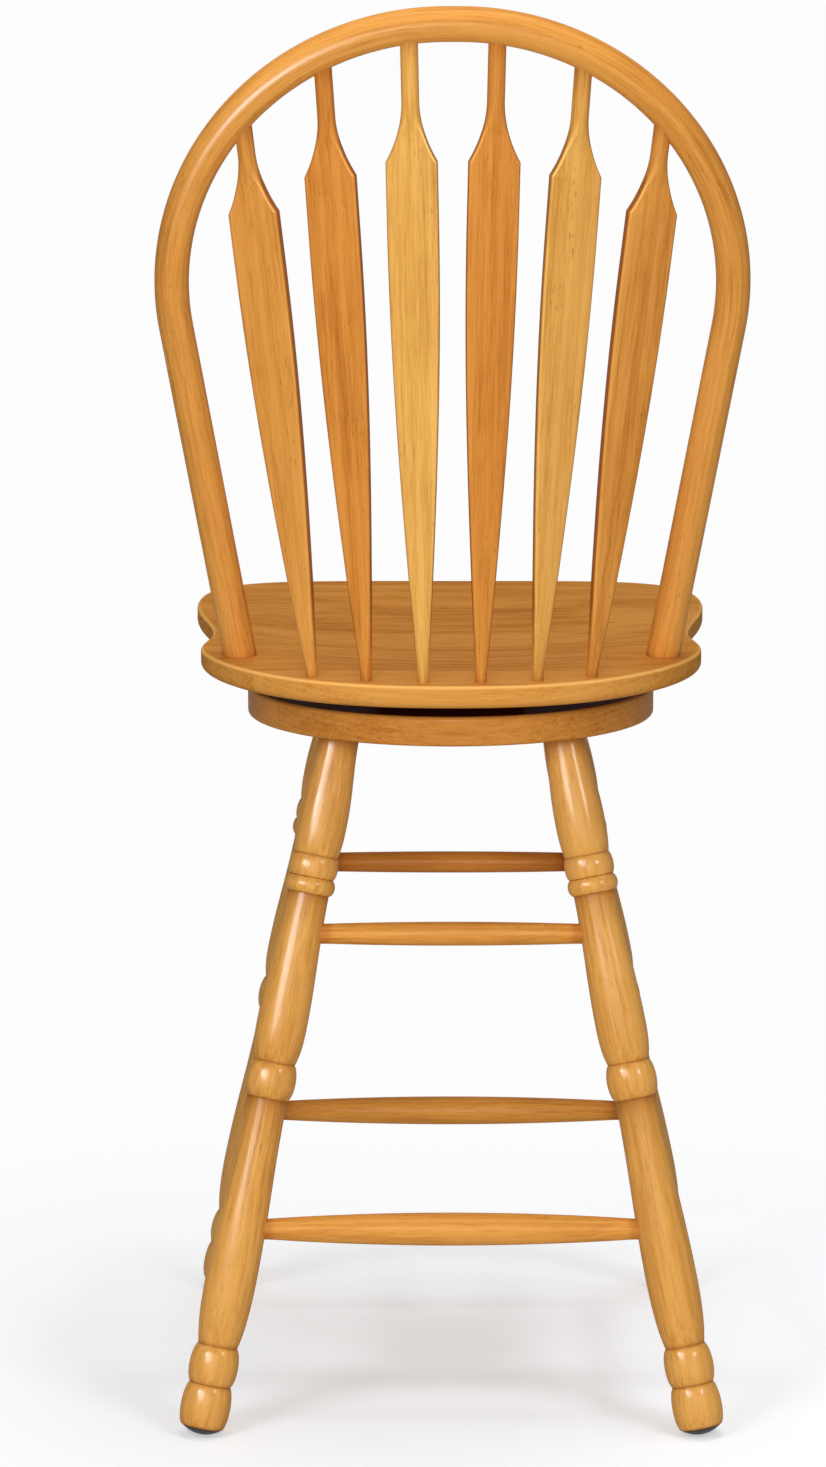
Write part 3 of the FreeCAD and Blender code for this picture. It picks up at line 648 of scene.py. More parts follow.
def leg_profile(sizes):
    """Radius and level up a leg, and its wear and painted light: a flat foot, the turned stages and a plain
    top in the disc.
    """
    layout = leg_layout(sizes)
    level, necks = layout.foot, list(sizes.neck_radii)
    points = [np.array([[0.4 * necks[0], level], [0.9 * necks[0], level]])]
    wear = [np.full(2, FOOT_STAIN)]
    stages = zip(necks, sizes.widest_radii, necks[1:], sizes.stage_lengths, sizes.swell_rises)
    for low, widest, high, run, swell in stages:
        if swell > 0:
            stage_points, stage_wear_and_painted_light = bulb(low, widest, high, level, swell, run)
        else:
            stage_points, stage_wear_and_painted_light = bead(low, widest, high, level, run)
        points.append(stage_points)
        wear.append(stage_wear_and_painted_light)
        level = level + run
    end = (DISC_HIGH.z - sizes.top_depth) / layout.rise
    points.append(np.array([[necks[-1], level], [necks[-1], level + 0.01], [necks[-1], end]]))
    # Painted shade: the plain top inside the disc is as dark as a groove.
    wear.append(np.full(3, GROOVE_STAIN_AND_SHADE))
    points, wear = np.concatenate(points), np.concatenate(wear)
    # Painted shade darkens the leg just under the disc.
    below_disc = DISC_LOW.z / layout.rise - points[:, 1]
    return points, np.clip(wear - gathered_darkening(below_disc, depth=1.1, reach=0.012), -1, 1)


def leg_wood(side, end):
    """Place in the wood that a leg is turned from, so that no two legs have the same figure."""
    row = (1 - end) / 2
    return np.array([0.31 * row, 0.17 * side, 0.9 * row + 0.4 * side])


def glide_profile(sizes):
    """Radius and level of a glide: an arc of a circle, a short rim and the start of the flat above it."""
    layout = leg_layout(sizes)
    bend = np.linspace(0.02, math.asin(sizes.glide_radius / layout.dome), GLIDE_ROWS)
    cap = np.stack([layout.dome * np.sin(bend), layout.centre - layout.dome * np.cos(bend)], axis=-1)
    rim = np.array([
        (sizes.glide_radius, layout.foot - 0.4 * sizes.glide_rim),
        (sizes.glide_radius, layout.foot),
        (0.9 * sizes.glide_radius, layout.foot),
    ])
    return np.concatenate([cap, rim])


class STOOL_OT_legs(bpy.types.Operator):
    """Four turned legs, each a profile of beads and bulbs carried round the leg's leaning axis"""

    bl_idname = "stool.legs"
    bl_label = "Legs"

    def execute(self, context):
        sizes = context.scene.stool_legs
        profile, wear = leg_profile(sizes)
        grid = turned(profile, LEG_AROUND)
        finish = oak("leg_oak", context.scene.stool_colours.leg)
        for corner, side, end in corners():
            foot, rows = leg_axes(sizes, side, end)
            grain = grid + leg_wood(side, end)
            mesh = skin(f"turned_leg_{corner}", grid @ rows + foot, grain, round_rows(wear, LEG_AROUND))
            stand_in(mesh, finish, FIXED, f"leg_{corner}")
        return {"FINISHED"}


class STOOL_OT_glides(bpy.types.Operator):
    """Four black glides, each a shallow dome with a short rim, flat where it meets the floor"""

    bl_idname = "stool.glides"
    bl_label = "Glides"

    def execute(self, context):
        sizes = context.scene.stool_legs
        grid = turned(glide_profile(sizes), GLIDE_AROUND)
        no_wear = np.zeros(grid.shape[:2])
        finish = moulded("glide_plastic", context.scene.stool_colours.glide, 0.5, speck=1400.0, contrast=0.35)
        for corner, side, end in corners():
            foot, rows = leg_axes(sizes, side, end)
            placed = grid @ rows + foot
            placed[..., 2] = np.maximum(placed[..., 2], 0)
            mesh = skin(f"domed_glide_{corner}", placed, grid, no_wear)
            stand_in(mesh, finish, FIXED, f"glide_{corner}")
        return {"FINISHED"}


# Stretchers

STRETCHER_AROUND = 48
STRETCHER_ROWS = 61
TIERS = ("lower", "upper")
# Place in each row of sizes, and the way that the stretcher faces
STRETCHER_SIDES = {"rear": (0, (0, 1)), "front": (1, (0, -1)), "left": (2, (1, 0)), "right": (2, (-1, 0))}
# The front stretchers are darker than the others: painted shade of the seat over them.
STRETCHER_TONE = 0.3
STRETCHER_SHADES = {("upper", "front"): -0.6, ("lower", "front"): 0.12}
STRETCHER_WOOD = np.array([0.23, 0.41, 0.7])


def stretcher_profile(half, straight, middle, tenon):
    """Radius and level along a stretcher: an arc of a circle between plain tenons on the legs' axes."""
    bulge = middle - tenon
    bend = (straight**2 + bulge**2) / (2 * bulge)
    along = np.linspace(-straight, straight, STRETCHER_ROWS)
    radius = middle - bend + np.sqrt(bend**2 - along**2)
    arc = np.stack([radius, along], axis=-1)
    return np.concatenate([[(tenon, -half)], arc, [(tenon, half)]])


class STOOL_OT_stretchers(bpy.types.Operator):
    """Eight stretchers, each a long arc of a circle carried round its axis between plain tenons"""

    bl_idname = "stool.stretchers"
    bl_label = "Stretchers"

    def execute(self, context):
        finish = oak("stretcher_oak", context.scene.stool_colours.stretcher)
        for drawn, (tier, side) in enumerate(itertools.product(TIERS, STRETCHER_SIDES)):
            mesh = self.stretcher(context.scene, tier, side, drawn * STRETCHER_WOOD)
            stand_in(mesh, finish, FIXED, f"{side}_{tier}_stretcher")
        return {"FINISHED"}

    @staticmethod
    def stretcher(scene, tier, side, wood):
        """One stretcher, laid level between two legs and darkened by painted shade where it enters them."""
        sizes, legs = scene.stool_stretchers, scene.stool_legs
        layout = leg_layout(legs)
        kind, (outward_x, outward_y) = STRETCHER_SIDES[side]
        height = getattr(sizes, f"{tier}_heights")[kind]
        middle = getattr(sizes, f"{tier}_radii")[kind]
        tenon = sizes.tenon_radii[TIERS.index(tier)]
        thickest = max(legs.widest_radii[2], legs.widest_radii[4])
        half = layout.spread - height * layout.slope
        straight = half - thickest / math.cos(legs.splay) - sizes.tenon_proud
        profile = stretcher_profile(half, straight, middle, tenon)
        grid = turned(profile, STRETCHER_AROUND)
        rows = axes(np.array([abs(outward_y), abs(outward_x), 0.0]), np.array([0.0, 0.0, 1.0]))
        place = np.array([outward_x * half, outward_y * half + SWIVEL_BACK, height])
        from_leg = half - thickest - np.abs(profile[:, 1])
        piece_tone = STRETCHER_SHADES.get((tier, side), STRETCHER_TONE)
        # Painted shade gathers where the stretcher enters the legs.
        wear = round_rows(piece_tone - gathered_darkening(from_leg, depth=1.1, reach=0.006), STRETCHER_AROUND)
        return skin(f"turned_{side}_{tier}_stretcher", grid @ rows + place, grid + wood, wear)


# Disc and swivel

DISC_AROUND = 160
DISC_RIM_ROWS = 9
DISC_SIDE_ROWS = 6
DISC_RINGS = np.array([0.03, 0.2, 0.4, 0.6, 0.8, 0.95, 0.99])
DISC_WOOD = np.array([0.0, 0.2, 0.3])


def disc_profile(edge):
    """Radius and level round the disc, from the middle of its underside over its rounded rims to its top."""
    low, high = DISC_LOW.z, DISC_HIGH.z
    bend = np.linspace(0, QUARTER_TURN, DISC_RIM_ROWS)
    flat = DISC_RINGS * (DISC_RADIUS - edge)
    radius = np.concatenate([
        flat,
        DISC_RADIUS - edge + edge * np.sin(bend),
        np.full(DISC_SIDE_ROWS, DISC_RADIUS),
        DISC_RADIUS - edge + edge * np.cos(bend),
        flat[::-1],
    ])
    level = np.concatenate([
        np.full(flat.shape, low),
        low + edge - edge * np.cos(bend),
        np.linspace(low + 1.2 * edge, high - 1.2 * edge, DISC_SIDE_ROWS),
        high - edge + edge * np.sin(bend),
        np.full(flat.shape, high),
    ])
    return np.stack([radius, level], axis=-1)


def disc_painted_light():
    """Painted light on the disc's rows: painted shade below and on the lower rim, plain at the side, a
    painted highlight on the upper rim and painted shade on top, in the slit under the seat.
    """
    return np.concatenate([
        np.full(DISC_RINGS.shape, -0.5),
        np.linspace(-0.4, 0.1, DISC_RIM_ROWS),
        np.full(DISC_SIDE_ROWS, 0.05),
        np.linspace(0.3, 0.9, DISC_RIM_ROWS),
        np.full(DISC_RINGS.shape, SLIT_SHADE),
    ])


class STOOL_OT_disc(bpy.types.Operator):
    """Disc under the swivel: a flat round profile with rounded rims, carried round the swivel's axis"""

    bl_idname = "stool.disc"
    bl_label = "Disc"

    def execute(self, context):
        sizes = context.scene.stool_seat
        grid = turned(disc_profile(sizes.disc_edge), DISC_AROUND)
        grain = grid[..., [1, 2, 0]] + DISC_WOOD
        finish = oak("disc_oak", context.scene.stool_colours.disc, stave=sizes.disc_stave)
        place = np.array([0, SWIVEL_BACK, 0])
        mesh = skin("round_disc", grid + place, grain, round_rows(disc_painted_light(), DISC_AROUND))
        stand_in(mesh, finish, FIXED, "leg_disc")
        return {"FINISHED"}


class STOOL_OT_swivel(bpy.types.Operator):
    """Finishes of the swivel plates, bearing, pivot and screws, which keep their CAD shapes"""

    bl_idname = "stool.swivel"
    bl_label = "Swivel and screws"

    def execute(self, context):
        colours = context.scene.stool_colours
        plate = moulded("swivel_steel", colours.plate, 0.5, speck=700.0, contrast=0.3)
        nylon = moulded("bearing_nylon", colours.nylon, 0.45, speck=600.0, contrast=0.08)
        zinc = moulded("screw_steel", colours.screw, 0.42, speck=1500.0, contrast=0.12, metal=1.0)
        for node in ("swivel_top_plate", "swivel_bottom_plate", "swivel_pivot_rivet"):
            repaint(node, plate)
        repaint("swivel_bearing_ring", nylon)
        for node in ("swivel_top_screws", "swivel_bottom_screws", "leg_screws", "bow_screws"):
            repaint(node, zinc)
        return {"FINISHED"}


# Seat

SEAT_AROUND = 400
HOLLOW_ROWS = 34
BRIM_ROWS = 20
ROLL_ROWS = 11
SEAT_SIDE_ROWS = 6
UNDER_ROWS = 16
# Share of the way from the middle at which a flat or hollow face's first row of points lies
INNERMOST = 0.03
SEAT_WOOD = np.array([0.02, 0.5, 0.0])
# Painted shade on the seat's top: a little on the deck and more down in the hollow. The side is painted
# lighter than the top.
DECK_SHADE = -0.02
HOLLOW_SHADE = 0.10
SEAT_SIDE_LIGHT = 0.22
# Painted highlight along the upper roll's middle, and the bend from which the roll also has the side's
# painted light
ROLL_HIGHLIGHT = 1.9
ROLL_MIDDLE = 0.8
# Painted light on the lower roll, from the side's lighter tone to the painted shade of the underside
LOWER_ROLL_PAINTED_LIGHT = (0.2, -0.5)
UNDERSIDE_SHADE = -0.5
# Painted shade: the underside is darkest over the disc, in the slit, and fades to its lighter painted shade a
# little way beyond the disc's rim.
SHADE_BEYOND = 0.02
SHADE_FADE = 0.015


def seat_half_width(sizes, back):
    """Half width of the seat at a place behind the axis: a straight taper less a bell-shaped waist."""
    share = (back + sizes.reaches[1]) / (sizes.reaches[0] + sizes.reaches[1])
    side = sizes.half_widths[1] + share * (sizes.half_widths[0] - sizes.half_widths[1])
    offset = back - sizes.waist_back
    run = np.where(offset > 0, sizes.waist_lengths[0], sizes.waist_lengths[1])
    return side - sizes.waist_depth * np.exp(-((offset / run) ** 2))


def on_seat(sizes, points):
    """Points of the seat's own flat layout, tilted and set over the swivel."""
    x, y, z = np.moveaxis(points, -1, 0)
    z = z + sizes.thickness
    sine, cosine = math.sin(sizes.tilt), math.cos(sizes.tilt)
    level = DISC_HIGH.z + sizes.swivel_height
    return np.stack([x, y * cosine + z * sine + SWIVEL_BACK, z * cosine - y * sine + level], axis=-1)


def seat_outline(sizes):
    """Points round the seat's edge and the directions out of it: a superellipse, squarer in front than
    behind, whose width is that of the waisted sides."""
    turn = np.linspace(0, FULL_TURN, SEAT_AROUND, endpoint=False)
    across, back = np.cos(turn), np.sin(turn)
    reach = np.where(back > 0, sizes.reaches[0], sizes.reaches[1])
    power = np.where(back > 0, sizes.rear_squareness, sizes.front_squareness)
    scale = (np.abs(across) ** power + np.abs(back) ** power) ** (-1 / power)
    place = scale * back * reach
    outline = np.stack([scale * across * seat_half_width(sizes, place), place], axis=-1)
    ahead = np.roll(outline, -1, axis=0) - np.roll(outline, 1, axis=0)
    outward = np.stack([ahead[:, 1], -ahead[:, 0]], axis=-1)
    return outline, outward / np.linalg.norm(outward, axis=-1, keepdims=True)


def seat_deck(sizes, outline, outward):
    """Plan, level and painted shade of the seat's top: spokes from the hollow's middle to the rolled edge.
    The hollow is a shallow ball whose rim is softened by a hyperbola."""
    centre = np.array([0, -sizes.scoop_forward])
    spoke = outline - outward * sizes.roll_radii[0] - centre
    run = np.linalg.norm(spoke, axis=-1)
    inner = sizes.scoop_radius * np.sin(np.linspace(INNERMOST, QUARTER_TURN, HOLLOW_ROWS))[:, None]
    outer = sizes.scoop_radius + eased(BRIM_ROWS)[1:, None] * (run - sizes.scoop_radius)
    radius = np.concatenate([inner + 0 * run, outer])
    ball = (sizes.scoop_radius**2 + sizes.scoop_depth**2) / (2 * sizes.scoop_depth)
    dish = np.sqrt(ball**2 - radius**2) - ball + sizes.scoop_depth
    level = -(dish + np.sqrt(dish**2 + sizes.scoop_rim**2)) / 2
    plan = centre + spoke / run[:, None] * radius[..., None]
    return plan, level, DECK_SHADE - HOLLOW_SHADE * np.clip(dish / sizes.scoop_depth, 0, 1)


def seat_rolls(sizes, outline, outward):
    """Plan, level and painted light of the seat's edge: a quarter round, a straight side and a lower quarter
    round.
    The upper roll has a painted highlight along its middle, the side is painted lighter than the top, and the
    lower roll darkens to painted shade."""
    upper, lower = sizes.roll_radii
    level_row = np.zeros(SEAT_AROUND)
    bend = np.linspace(0, QUARTER_TURN, ROLL_ROWS)[1:, None]
    side_level = np.linspace(-upper, lower - sizes.thickness, SEAT_SIDE_ROWS)[1:, None]
    plan = np.concatenate([
        outline - outward * upper + outward * upper * np.sin(bend)[..., None],
        np.repeat(outline[None], len(side_level), axis=0),
        outline - outward * lower * (1 - np.cos(bend)[..., None]),
    ])
    level = np.concatenate([
        upper * (np.cos(bend) - 1),
        side_level,
        lower - sizes.thickness - lower * np.sin(bend),
    ])
    wear = np.concatenate([
        np.sin(2 * bend) * ROLL_HIGHLIGHT + SEAT_SIDE_LIGHT * (bend > ROLL_MIDDLE),
        np.full(side_level.shape, SEAT_SIDE_LIGHT),
        np.linspace(*LOWER_ROLL_PAINTED_LIGHT, ROLL_ROWS)[1:, None],
    ])
    return plan, level + level_row, wear + level_row


def seat_underside(sizes, outline, outward):
    """Plan, level and painted shade of the seat's flat underside: the outline drawn in towards its middle."""
    centre = np.array([0, -sizes.scoop_forward])
    share = np.linspace(1, INNERMOST, UNDER_ROWS)[1:, None, None]
    plan = centre + (outline - outward * sizes.roll_radii[1] - centre) * share
    level = np.full(plan.shape[:2], -sizes.thickness)
    inside = DISC_RADIUS + SHADE_BEYOND - np.linalg.norm(plan, axis=-1)
    shaded = np.clip(inside / SHADE_FADE, 0, 1)
    return plan, level, UNDERSIDE_SHADE + (SLIT_SHADE - UNDERSIDE_SHADE) * shaded


class STOOL_OT_seat(bpy.types.Operator):
    """Seat board: a waisted superellipse outline, rolled edges above and below and a round hollow on top"""

    bl_idname = "stool.seat"
    bl_label = "Seat"

    def execute(self, context):
        sizes = context.scene.stool_seat
        outline, outward = seat_outline(sizes)
        faces = [face(sizes, outline, outward) for face in (seat_deck, seat_rolls, seat_underside)]
        plan, level, wear = (np.concatenate(rows)[::-1] for rows in zip(*faces))
        flat = np.concatenate([plan, level[..., None]], axis=-1)
        grain = flat[..., [1, 2, 0]] + SEAT_WOOD
        colour = context.scene.stool_colours.seat
        finish = oak("seat_oak", colour, coat=0.03, roughness=0.5, stave=sizes.stave)
        mesh = skin("shaped_seat", on_seat(sizes, flat), grain, wear)
        stand_in(mesh, finish, TURNING, "seat")
        return {"FINISHED"}


# Bow

BOW_AROUND = 56
BOW_BEND_ROWS = 110
BOW_LEG_ROWS = 50
BOW_WOOD = (0.11, 0.05)
BOW_TONE = 0.1


def bow_plane(back, across, height):
    """Points of the bow's leaning plane, in the seat's flat layout."""
    sine, cosine = math.sin(back.bow_lean), math.cos(back.bow_lean)
    return np.stack([across, back.bow_back + height * sine, height * cosine + 0 * across], axis=-1)


def bow_bend(back, seat):
    """Half width of the bow's feet, height of its bend's centre and the turn at which the bend ends."""
    reach, power = seat.reaches[0], seat.rear_squareness
    edge = seat_half_width(seat, back.bow_back) * (1 - (back.bow_back / reach) ** power) ** (1 / power)
    half = float(edge) - back.bow_inset
    centre = back.bow_height - back.bow_radius
    offset = half - back.crown / 2
    fall = math.atan2(centre, offset)
    return half, centre, QUARTER_TURN + fall - math.acos(back.bow_radius / math.hypot(offset, centre))


def bow_path(back, seat):
    """Middle of the rod in the bow's plane, from foot to foot: a straight leg that runs into an arc of a
    circle without a kink, and the same mirrored."""
    half, centre, end_turn = bow_bend(back, seat)
    turn = np.linspace(end_turn, 0, BOW_BEND_ROWS)
    across = back.crown / 2 + back.bow_radius * np.sin(turn)
    bend = np.stack([across, centre + back.bow_radius * np.cos(turn)], axis=-1)
    foot = np.array([half, 0.0])
    rise = (bend[0] - foot) / np.linalg.norm(bend[0] - foot)
    sunk = foot - back.foot_sunk * rise
    leg = sunk + (bend[0] - sunk) * np.linspace(0, 1, BOW_LEG_ROWS)[:-1, None]
    one_side = np.concatenate([leg, bend])
    return np.concatenate([one_side, one_side[::-1] * np.array([-1, 1])])


def bow_rod(back, path, around):
    """Round rod along a path: at each point a circle in the plane square to the path."""
    centreline = bow_plane(back, path[:, 0], path[:, 1])
    ahead = np.gradient(centreline, axis=0)
    ahead /= np.linalg.norm(ahead, axis=-1, keepdims=True)
    square = np.array([0, -math.cos(back.bow_lean), math.sin(back.bow_lean)])
    beside = np.cross(ahead, square)
    ring = np.cos(around)[:, None] * square + np.sin(around)[:, None] * beside[:, None, :]
    return centreline[:, None, :] + back.rod_radius * ring


class STOOL_OT_bow(bpy.types.Operator):
    """Bent bow: a circle carried along two straight legs, two bends and a short crown in one plane"""

    bl_idname = "stool.bow"
    bl_label = "Bow"

    def execute(self, context):
        back, seat = context.scene.stool_back, context.scene.stool_seat
        path = bow_path(back, seat)
        around = np.linspace(0, FULL_TURN, BOW_AROUND, endpoint=False)
        run = np.concatenate([[0], np.cumsum(np.linalg.norm(np.diff(path, axis=0), axis=-1))])
        wood_x = back.rod_radius * np.cos(around) + BOW_WOOD[0]
        wood_y = back.rod_radius * np.sin(around) + BOW_WOOD[1]
        grain = np.stack(np.broadcast_arrays(wood_x, wood_y, run[:, None]), axis=-1)
        # Painted shade darkens the bow's feet where they enter the seat.
        from_seat = np.minimum(run, run[-1] - run) - back.foot_sunk
        wear = round_rows(BOW_TONE - gathered_darkening(from_seat, depth=0.8, reach=0.004), BOW_AROUND)
        finish = oak("bow_oak", context.scene.stool_colours.bow, satin=0.32)
        mesh = skin("bent_bow", on_seat(seat, bow_rod(back, path, around)), grain, wear)
        stand_in(mesh, finish, TURNING, "bow")
        return {"FINISHED"}


# Spindles

PAIRS = ("inner", "middle", "outer")
SPINDLE_TINTS = {
    "inner": {"left": "pale", "right": "red"},
    "middle": {"left": "red", "right": "pale"},
    "outer": {"left": "honey", "right": "honey"},
}
# The right spindle of each pair took the stain a little deeper than the left one of the same tint.
RIGHT_STAINS = {"inner": -0.09, "middle": -0.30, "outer": -0.17}
SPINDLE_WOOD = np.array([0.13, 0.29, 0.8])
CORNER_POINTS = 9
FLAT_SHARES = np.array([0.03, 0.15, 0.4, 0.6, 0.85, 0.97])
BLADE_ROWS = 80
FLARE_ROWS = 34
NECK_ROWS = 8
# Share of the full spread from which a spindle is flat
FLAT_FROM = 0.3
# Painted highlight on the eased edge that faces the middle of the back, along the blade and on the flare
BLADE_HIGHLIGHT = 0.9
FLARE_HIGHLIGHT = 2.3
# Share of that painted highlight on the edge away from the middle, and the painted shade on the flanks
OUTER_HIGHLIGHT_SHARE = 0.1
FLANK_SHADE = 0.9
# How far sideways the section faces on that painted highlight and on the flanks' painted shade: middle and
# width, start and run
CREST_MIDDLE = 0.42
CREST_WIDTH = 0.26
FLANK_START = 0.70
FLANK_RUN = 0.2
Spindle = namedtuple("Spindle", "foot rows full shoulder")


def eased_section():
    """Signs and directions that place the points of a rounded rectangle: four corner arcs and the flats
    between them, as two shares of the corner's centre and the two parts of the corner's direction."""
    arc = np.linspace(0, QUARTER_TURN, CORNER_POINTS)
    signs = np.array([[1, 1], [-1, 1], [-1, -1], [1, -1]])
    shares, directions = [], []
    for corner in range(4):
        angles = arc + corner * QUARTER_TURN
        here, after = signs[corner], signs[(corner + 1) % 4]
        shares.append(np.repeat(here[None], CORNER_POINTS, axis=0))
        shares.append(here + (after - here) * FLAT_SHARES[:, None])
        turn = np.concatenate([angles, np.full(FLAT_SHARES.shape, angles[-1])])
        directions.append(np.stack([np.cos(turn), np.sin(turn)], axis=-1))
    return np.concatenate(shares), np.concatenate(directions)


def spindle_place(back, seat, pair, side):
    """Foot, unit rows, length and shoulder of a spindle, in the seat's flat layout. It runs from an arc of
    feet on the seat to a point on the bow's bend, and its blade is turned by a share of the foot's angle."""
    order = PAIRS.index(pair)
    foot_turn = side * (order + 0.5) * back.foot_pitch
    arc_centre = np.array([0, seat.reaches[0] - back.foot_inset - back.foot_arc, 0])
    foot = arc_centre + back.foot_arc * np.array([math.sin(foot_turn), math.cos(foot_turn), 0])
    _, bend_centre, _ = bow_bend(back, seat)
    top_turn = back.top_turns[order]
    top_across = np.array(side * (back.crown / 2 + back.bow_radius * math.sin(top_turn)))
    top = bow_plane(back, top_across, bend_centre + back.bow_radius * math.cos(top_turn))
    blade_turn = foot_turn * back.turn_share
    rows = axes(top - foot, np.array([math.cos(blade_turn), -math.sin(blade_turn), 0]))
    full = np.linalg.norm(top - foot)
    return Spindle(foot, rows, full, full - back.rod_radius - back.heads[order])


def spindle_levels(back, spindle):
    """Heights of a spindle's rows: the foot, the blade, the flare and the neck."""
    shoulder = spindle.shoulder
    return np.concatenate([
        [-back.foot_sunk, 0.0, 0.5 * back.foot_length],
        np.linspace(back.foot_length, shoulder, BLADE_ROWS),
        shoulder + back.flare * eased(FLARE_ROWS)[1:],
        np.linspace(shoulder + back.flare, spindle.full, NECK_ROWS)[1:],
    ])


def spindle_form(back, spindle, level):
    """Half width, half thickness, edge radius and flatness of each row. The width fans out to the shoulder
    by a quarter of a sine and flares back by a square, and the section is round at both ends."""
    fan = spindle.shoulder - back.parallel - back.foot_length
    below = level <= spindle.shoulder
    fanned = np.sin(QUARTER_TURN * np.clip((level - back.foot_length) / fan, 0, 1))
    flared = (1 - np.clip((level - spindle.shoulder) / back.flare, 0, 1)) ** 2
    spread = np.where(below, fanned, flared)
    end_radius = np.where(below, back.foot_radius, back.top_radius)
    flatness = np.minimum(1, spread / FLAT_FROM)
    width = end_radius + spread * (back.blade_width / 2 - end_radius)
    thick = end_radius + flatness * (back.blade_thickness / 2 - end_radius)
    edge = end_radius + flatness * (back.blade_edge - end_radius)
    return width[:, None], thick[:, None], edge[:, None], flatness[:, None]


def spindle_painted_light(back, spindle, level, flatness, section, side):
    """Painted light on a spindle: a painted highlight along the eased edge towards the middle of the back,
    painted shade on the flanks, and painted shade gathered at the seat and at the bow."""
    shares, directions = section
    sideways = np.abs(directions[:, 0])
    crest = np.exp(-(((sideways - CREST_MIDDLE) / CREST_WIDTH) ** 2))
    flank = np.clip((sideways - FLANK_START) / FLANK_RUN, 0, 1)
    bevel = np.where(level <= spindle.shoulder, BLADE_HIGHLIGHT, FLARE_HIGHLIGHT)[:, None] * flatness
    inward = np.where(shares[:, 0] * side < 0, 1.0, OUTER_HIGHLIGHT_SHARE)
    from_bow = spindle.full - back.rod_radius - level
    at_seat = gathered_darkening(np.abs(level), depth=0.5, reach=0.004)
    at_bow = gathered_darkening(from_bow, depth=0.35, reach=0.006)
    return bevel * crest * inward - FLANK_SHADE * flatness * flank - (at_seat + at_bow)[:, None]


class STOOL_OT_spindles(bpy.types.Operator):
    """Six arrow spindles: a rounded rectangle, round at both ends, that fans out and flares back"""

    bl_idname = "stool.spindles"
    bl_label = "Spindles"

    def execute(self, context):
        colours = context.scene.stool_colours
        finishes = {
            tint: oak(f"{tint}_spindle_oak", getattr(colours, tint)) for tint in ("pale", "red", "honey")
        }
        section = eased_section()
        for drawn, (pair, side_name) in enumerate(itertools.product(PAIRS, SIDES)):
            mesh = self.spindle(context.scene, pair, side_name, section, drawn * SPINDLE_WOOD)
            tint = SPINDLE_TINTS[pair][side_name]
            stand_in(mesh, finishes[tint], TURNING, f"spindle_{pair}_{side_name}")
        return {"FINISHED"}

    @staticmethod
    def spindle(scene, pair, side_name, section, wood):
        """One spindle: the section scaled to each row's form, set between the seat and the bow."""
        back, seat, side = scene.stool_back, scene.stool_seat, SIDES[side_name]
        spindle = spindle_place(back, seat, pair, side)
        level = spindle_levels(back, spindle)
        width, thick, edge, flatness = spindle_form(back, spindle, level)
        shares, directions = section
        grid = np.stack([
            shares[:, 0] * (width - edge) + edge * directions[:, 0],
            shares[:, 1] * (thick - edge) + edge * directions[:, 1],
            round_rows(level, len(shares)),
        ], axis=-1)
        piece_tone = RIGHT_STAINS[pair] if side_name == "right" else 0.0
        wear = piece_tone + spindle_painted_light(back, spindle, level, flatness, section, side)
        placed = on_seat(seat, grid @ spindle.rows + spindle.foot)
        return skin(f"arrow_spindle_{pair}_{side_name}", placed, grid + wood, np.clip(wear, -1, 2))


# Stage

# Width and height of each lamp, its azimuth and elevation in degrees, and its distance from the stool.
# Azimuth is counted from the camera's side towards the picture's right.
LAMPS = {
    "front_softbox": ((2.0, 1.4), -4, 12, 2.8),
    "far_softbox": ((2.0, 1.4), 176, 8, 2.8),
    "top_softbox": ((1.8, 1.8), 0, 80, 2.2),
    "floor_softbox": ((1.2, 1.2), 100, 85, 2.4),
    "left_foot_softbox": ((0.8, 0.5), -42, 38, 2.6),
    "right_foot_softbox": ((0.8, 0.5), 42, 38, 2.6),
    "leg_gleam": ((1.1, 1.0), -32, 17, 2.6),
    "left_bead_gleam": ((0.35, 0.35), -46, 19, 2.2),
    "right_bead_gleam": ((0.35, 0.35), 40, 21, 2.2),
    "bow_gleam": ((0.7, 0.45), -27, 4, 2.6),
}
LAMP_AIM = Vector((0, SWIVEL_BACK, 0.55))
WHITE = 0.98
SENSOR_MILLIMETRES = 36


def softbox(name, power):
    """Area lamp aimed at the stool and unseen by the camera. One named a gleam only shows in the varnish."""
    size, azimuth, elevation, distance = LAMPS[name]
    data = bpy.data.lights.new(name, "AREA")
    data.shape = "RECTANGLE"
    data.size, data.size_y = size
    data.energy = power
    lamp = bpy.data.objects.new(name, data)
    bpy.context.scene.collection.objects.link(lamp)
    turn, rise = math.radians(azimuth), math.radians(elevation)
    away = Vector((-math.sin(turn) * math.cos(rise), math.cos(turn) * math.cos(rise), math.sin(rise)))
    lamp.location = LAMP_AIM + away * distance
    lamp.rotation_euler = (-away).to_track_quat("-Z", "Y").to_euler()
    lamp.visible_camera = False
    lamp.visible_diffuse = not name.endswith("gleam")
    return lamp


def light_only(lamp, pieces, state):
    """Lets a lamp light some pieces alone, or all but those. Shadows still fall as they would."""
    lit = bpy.data.collections.new(f"lit_by_{lamp.name}")
    for piece in pieces:
        lit.objects.link(piece)
    for member in lit.collection_objects:
        member.light_linking.link_state = state
    lamp.light_linking.receiver_collection = lit


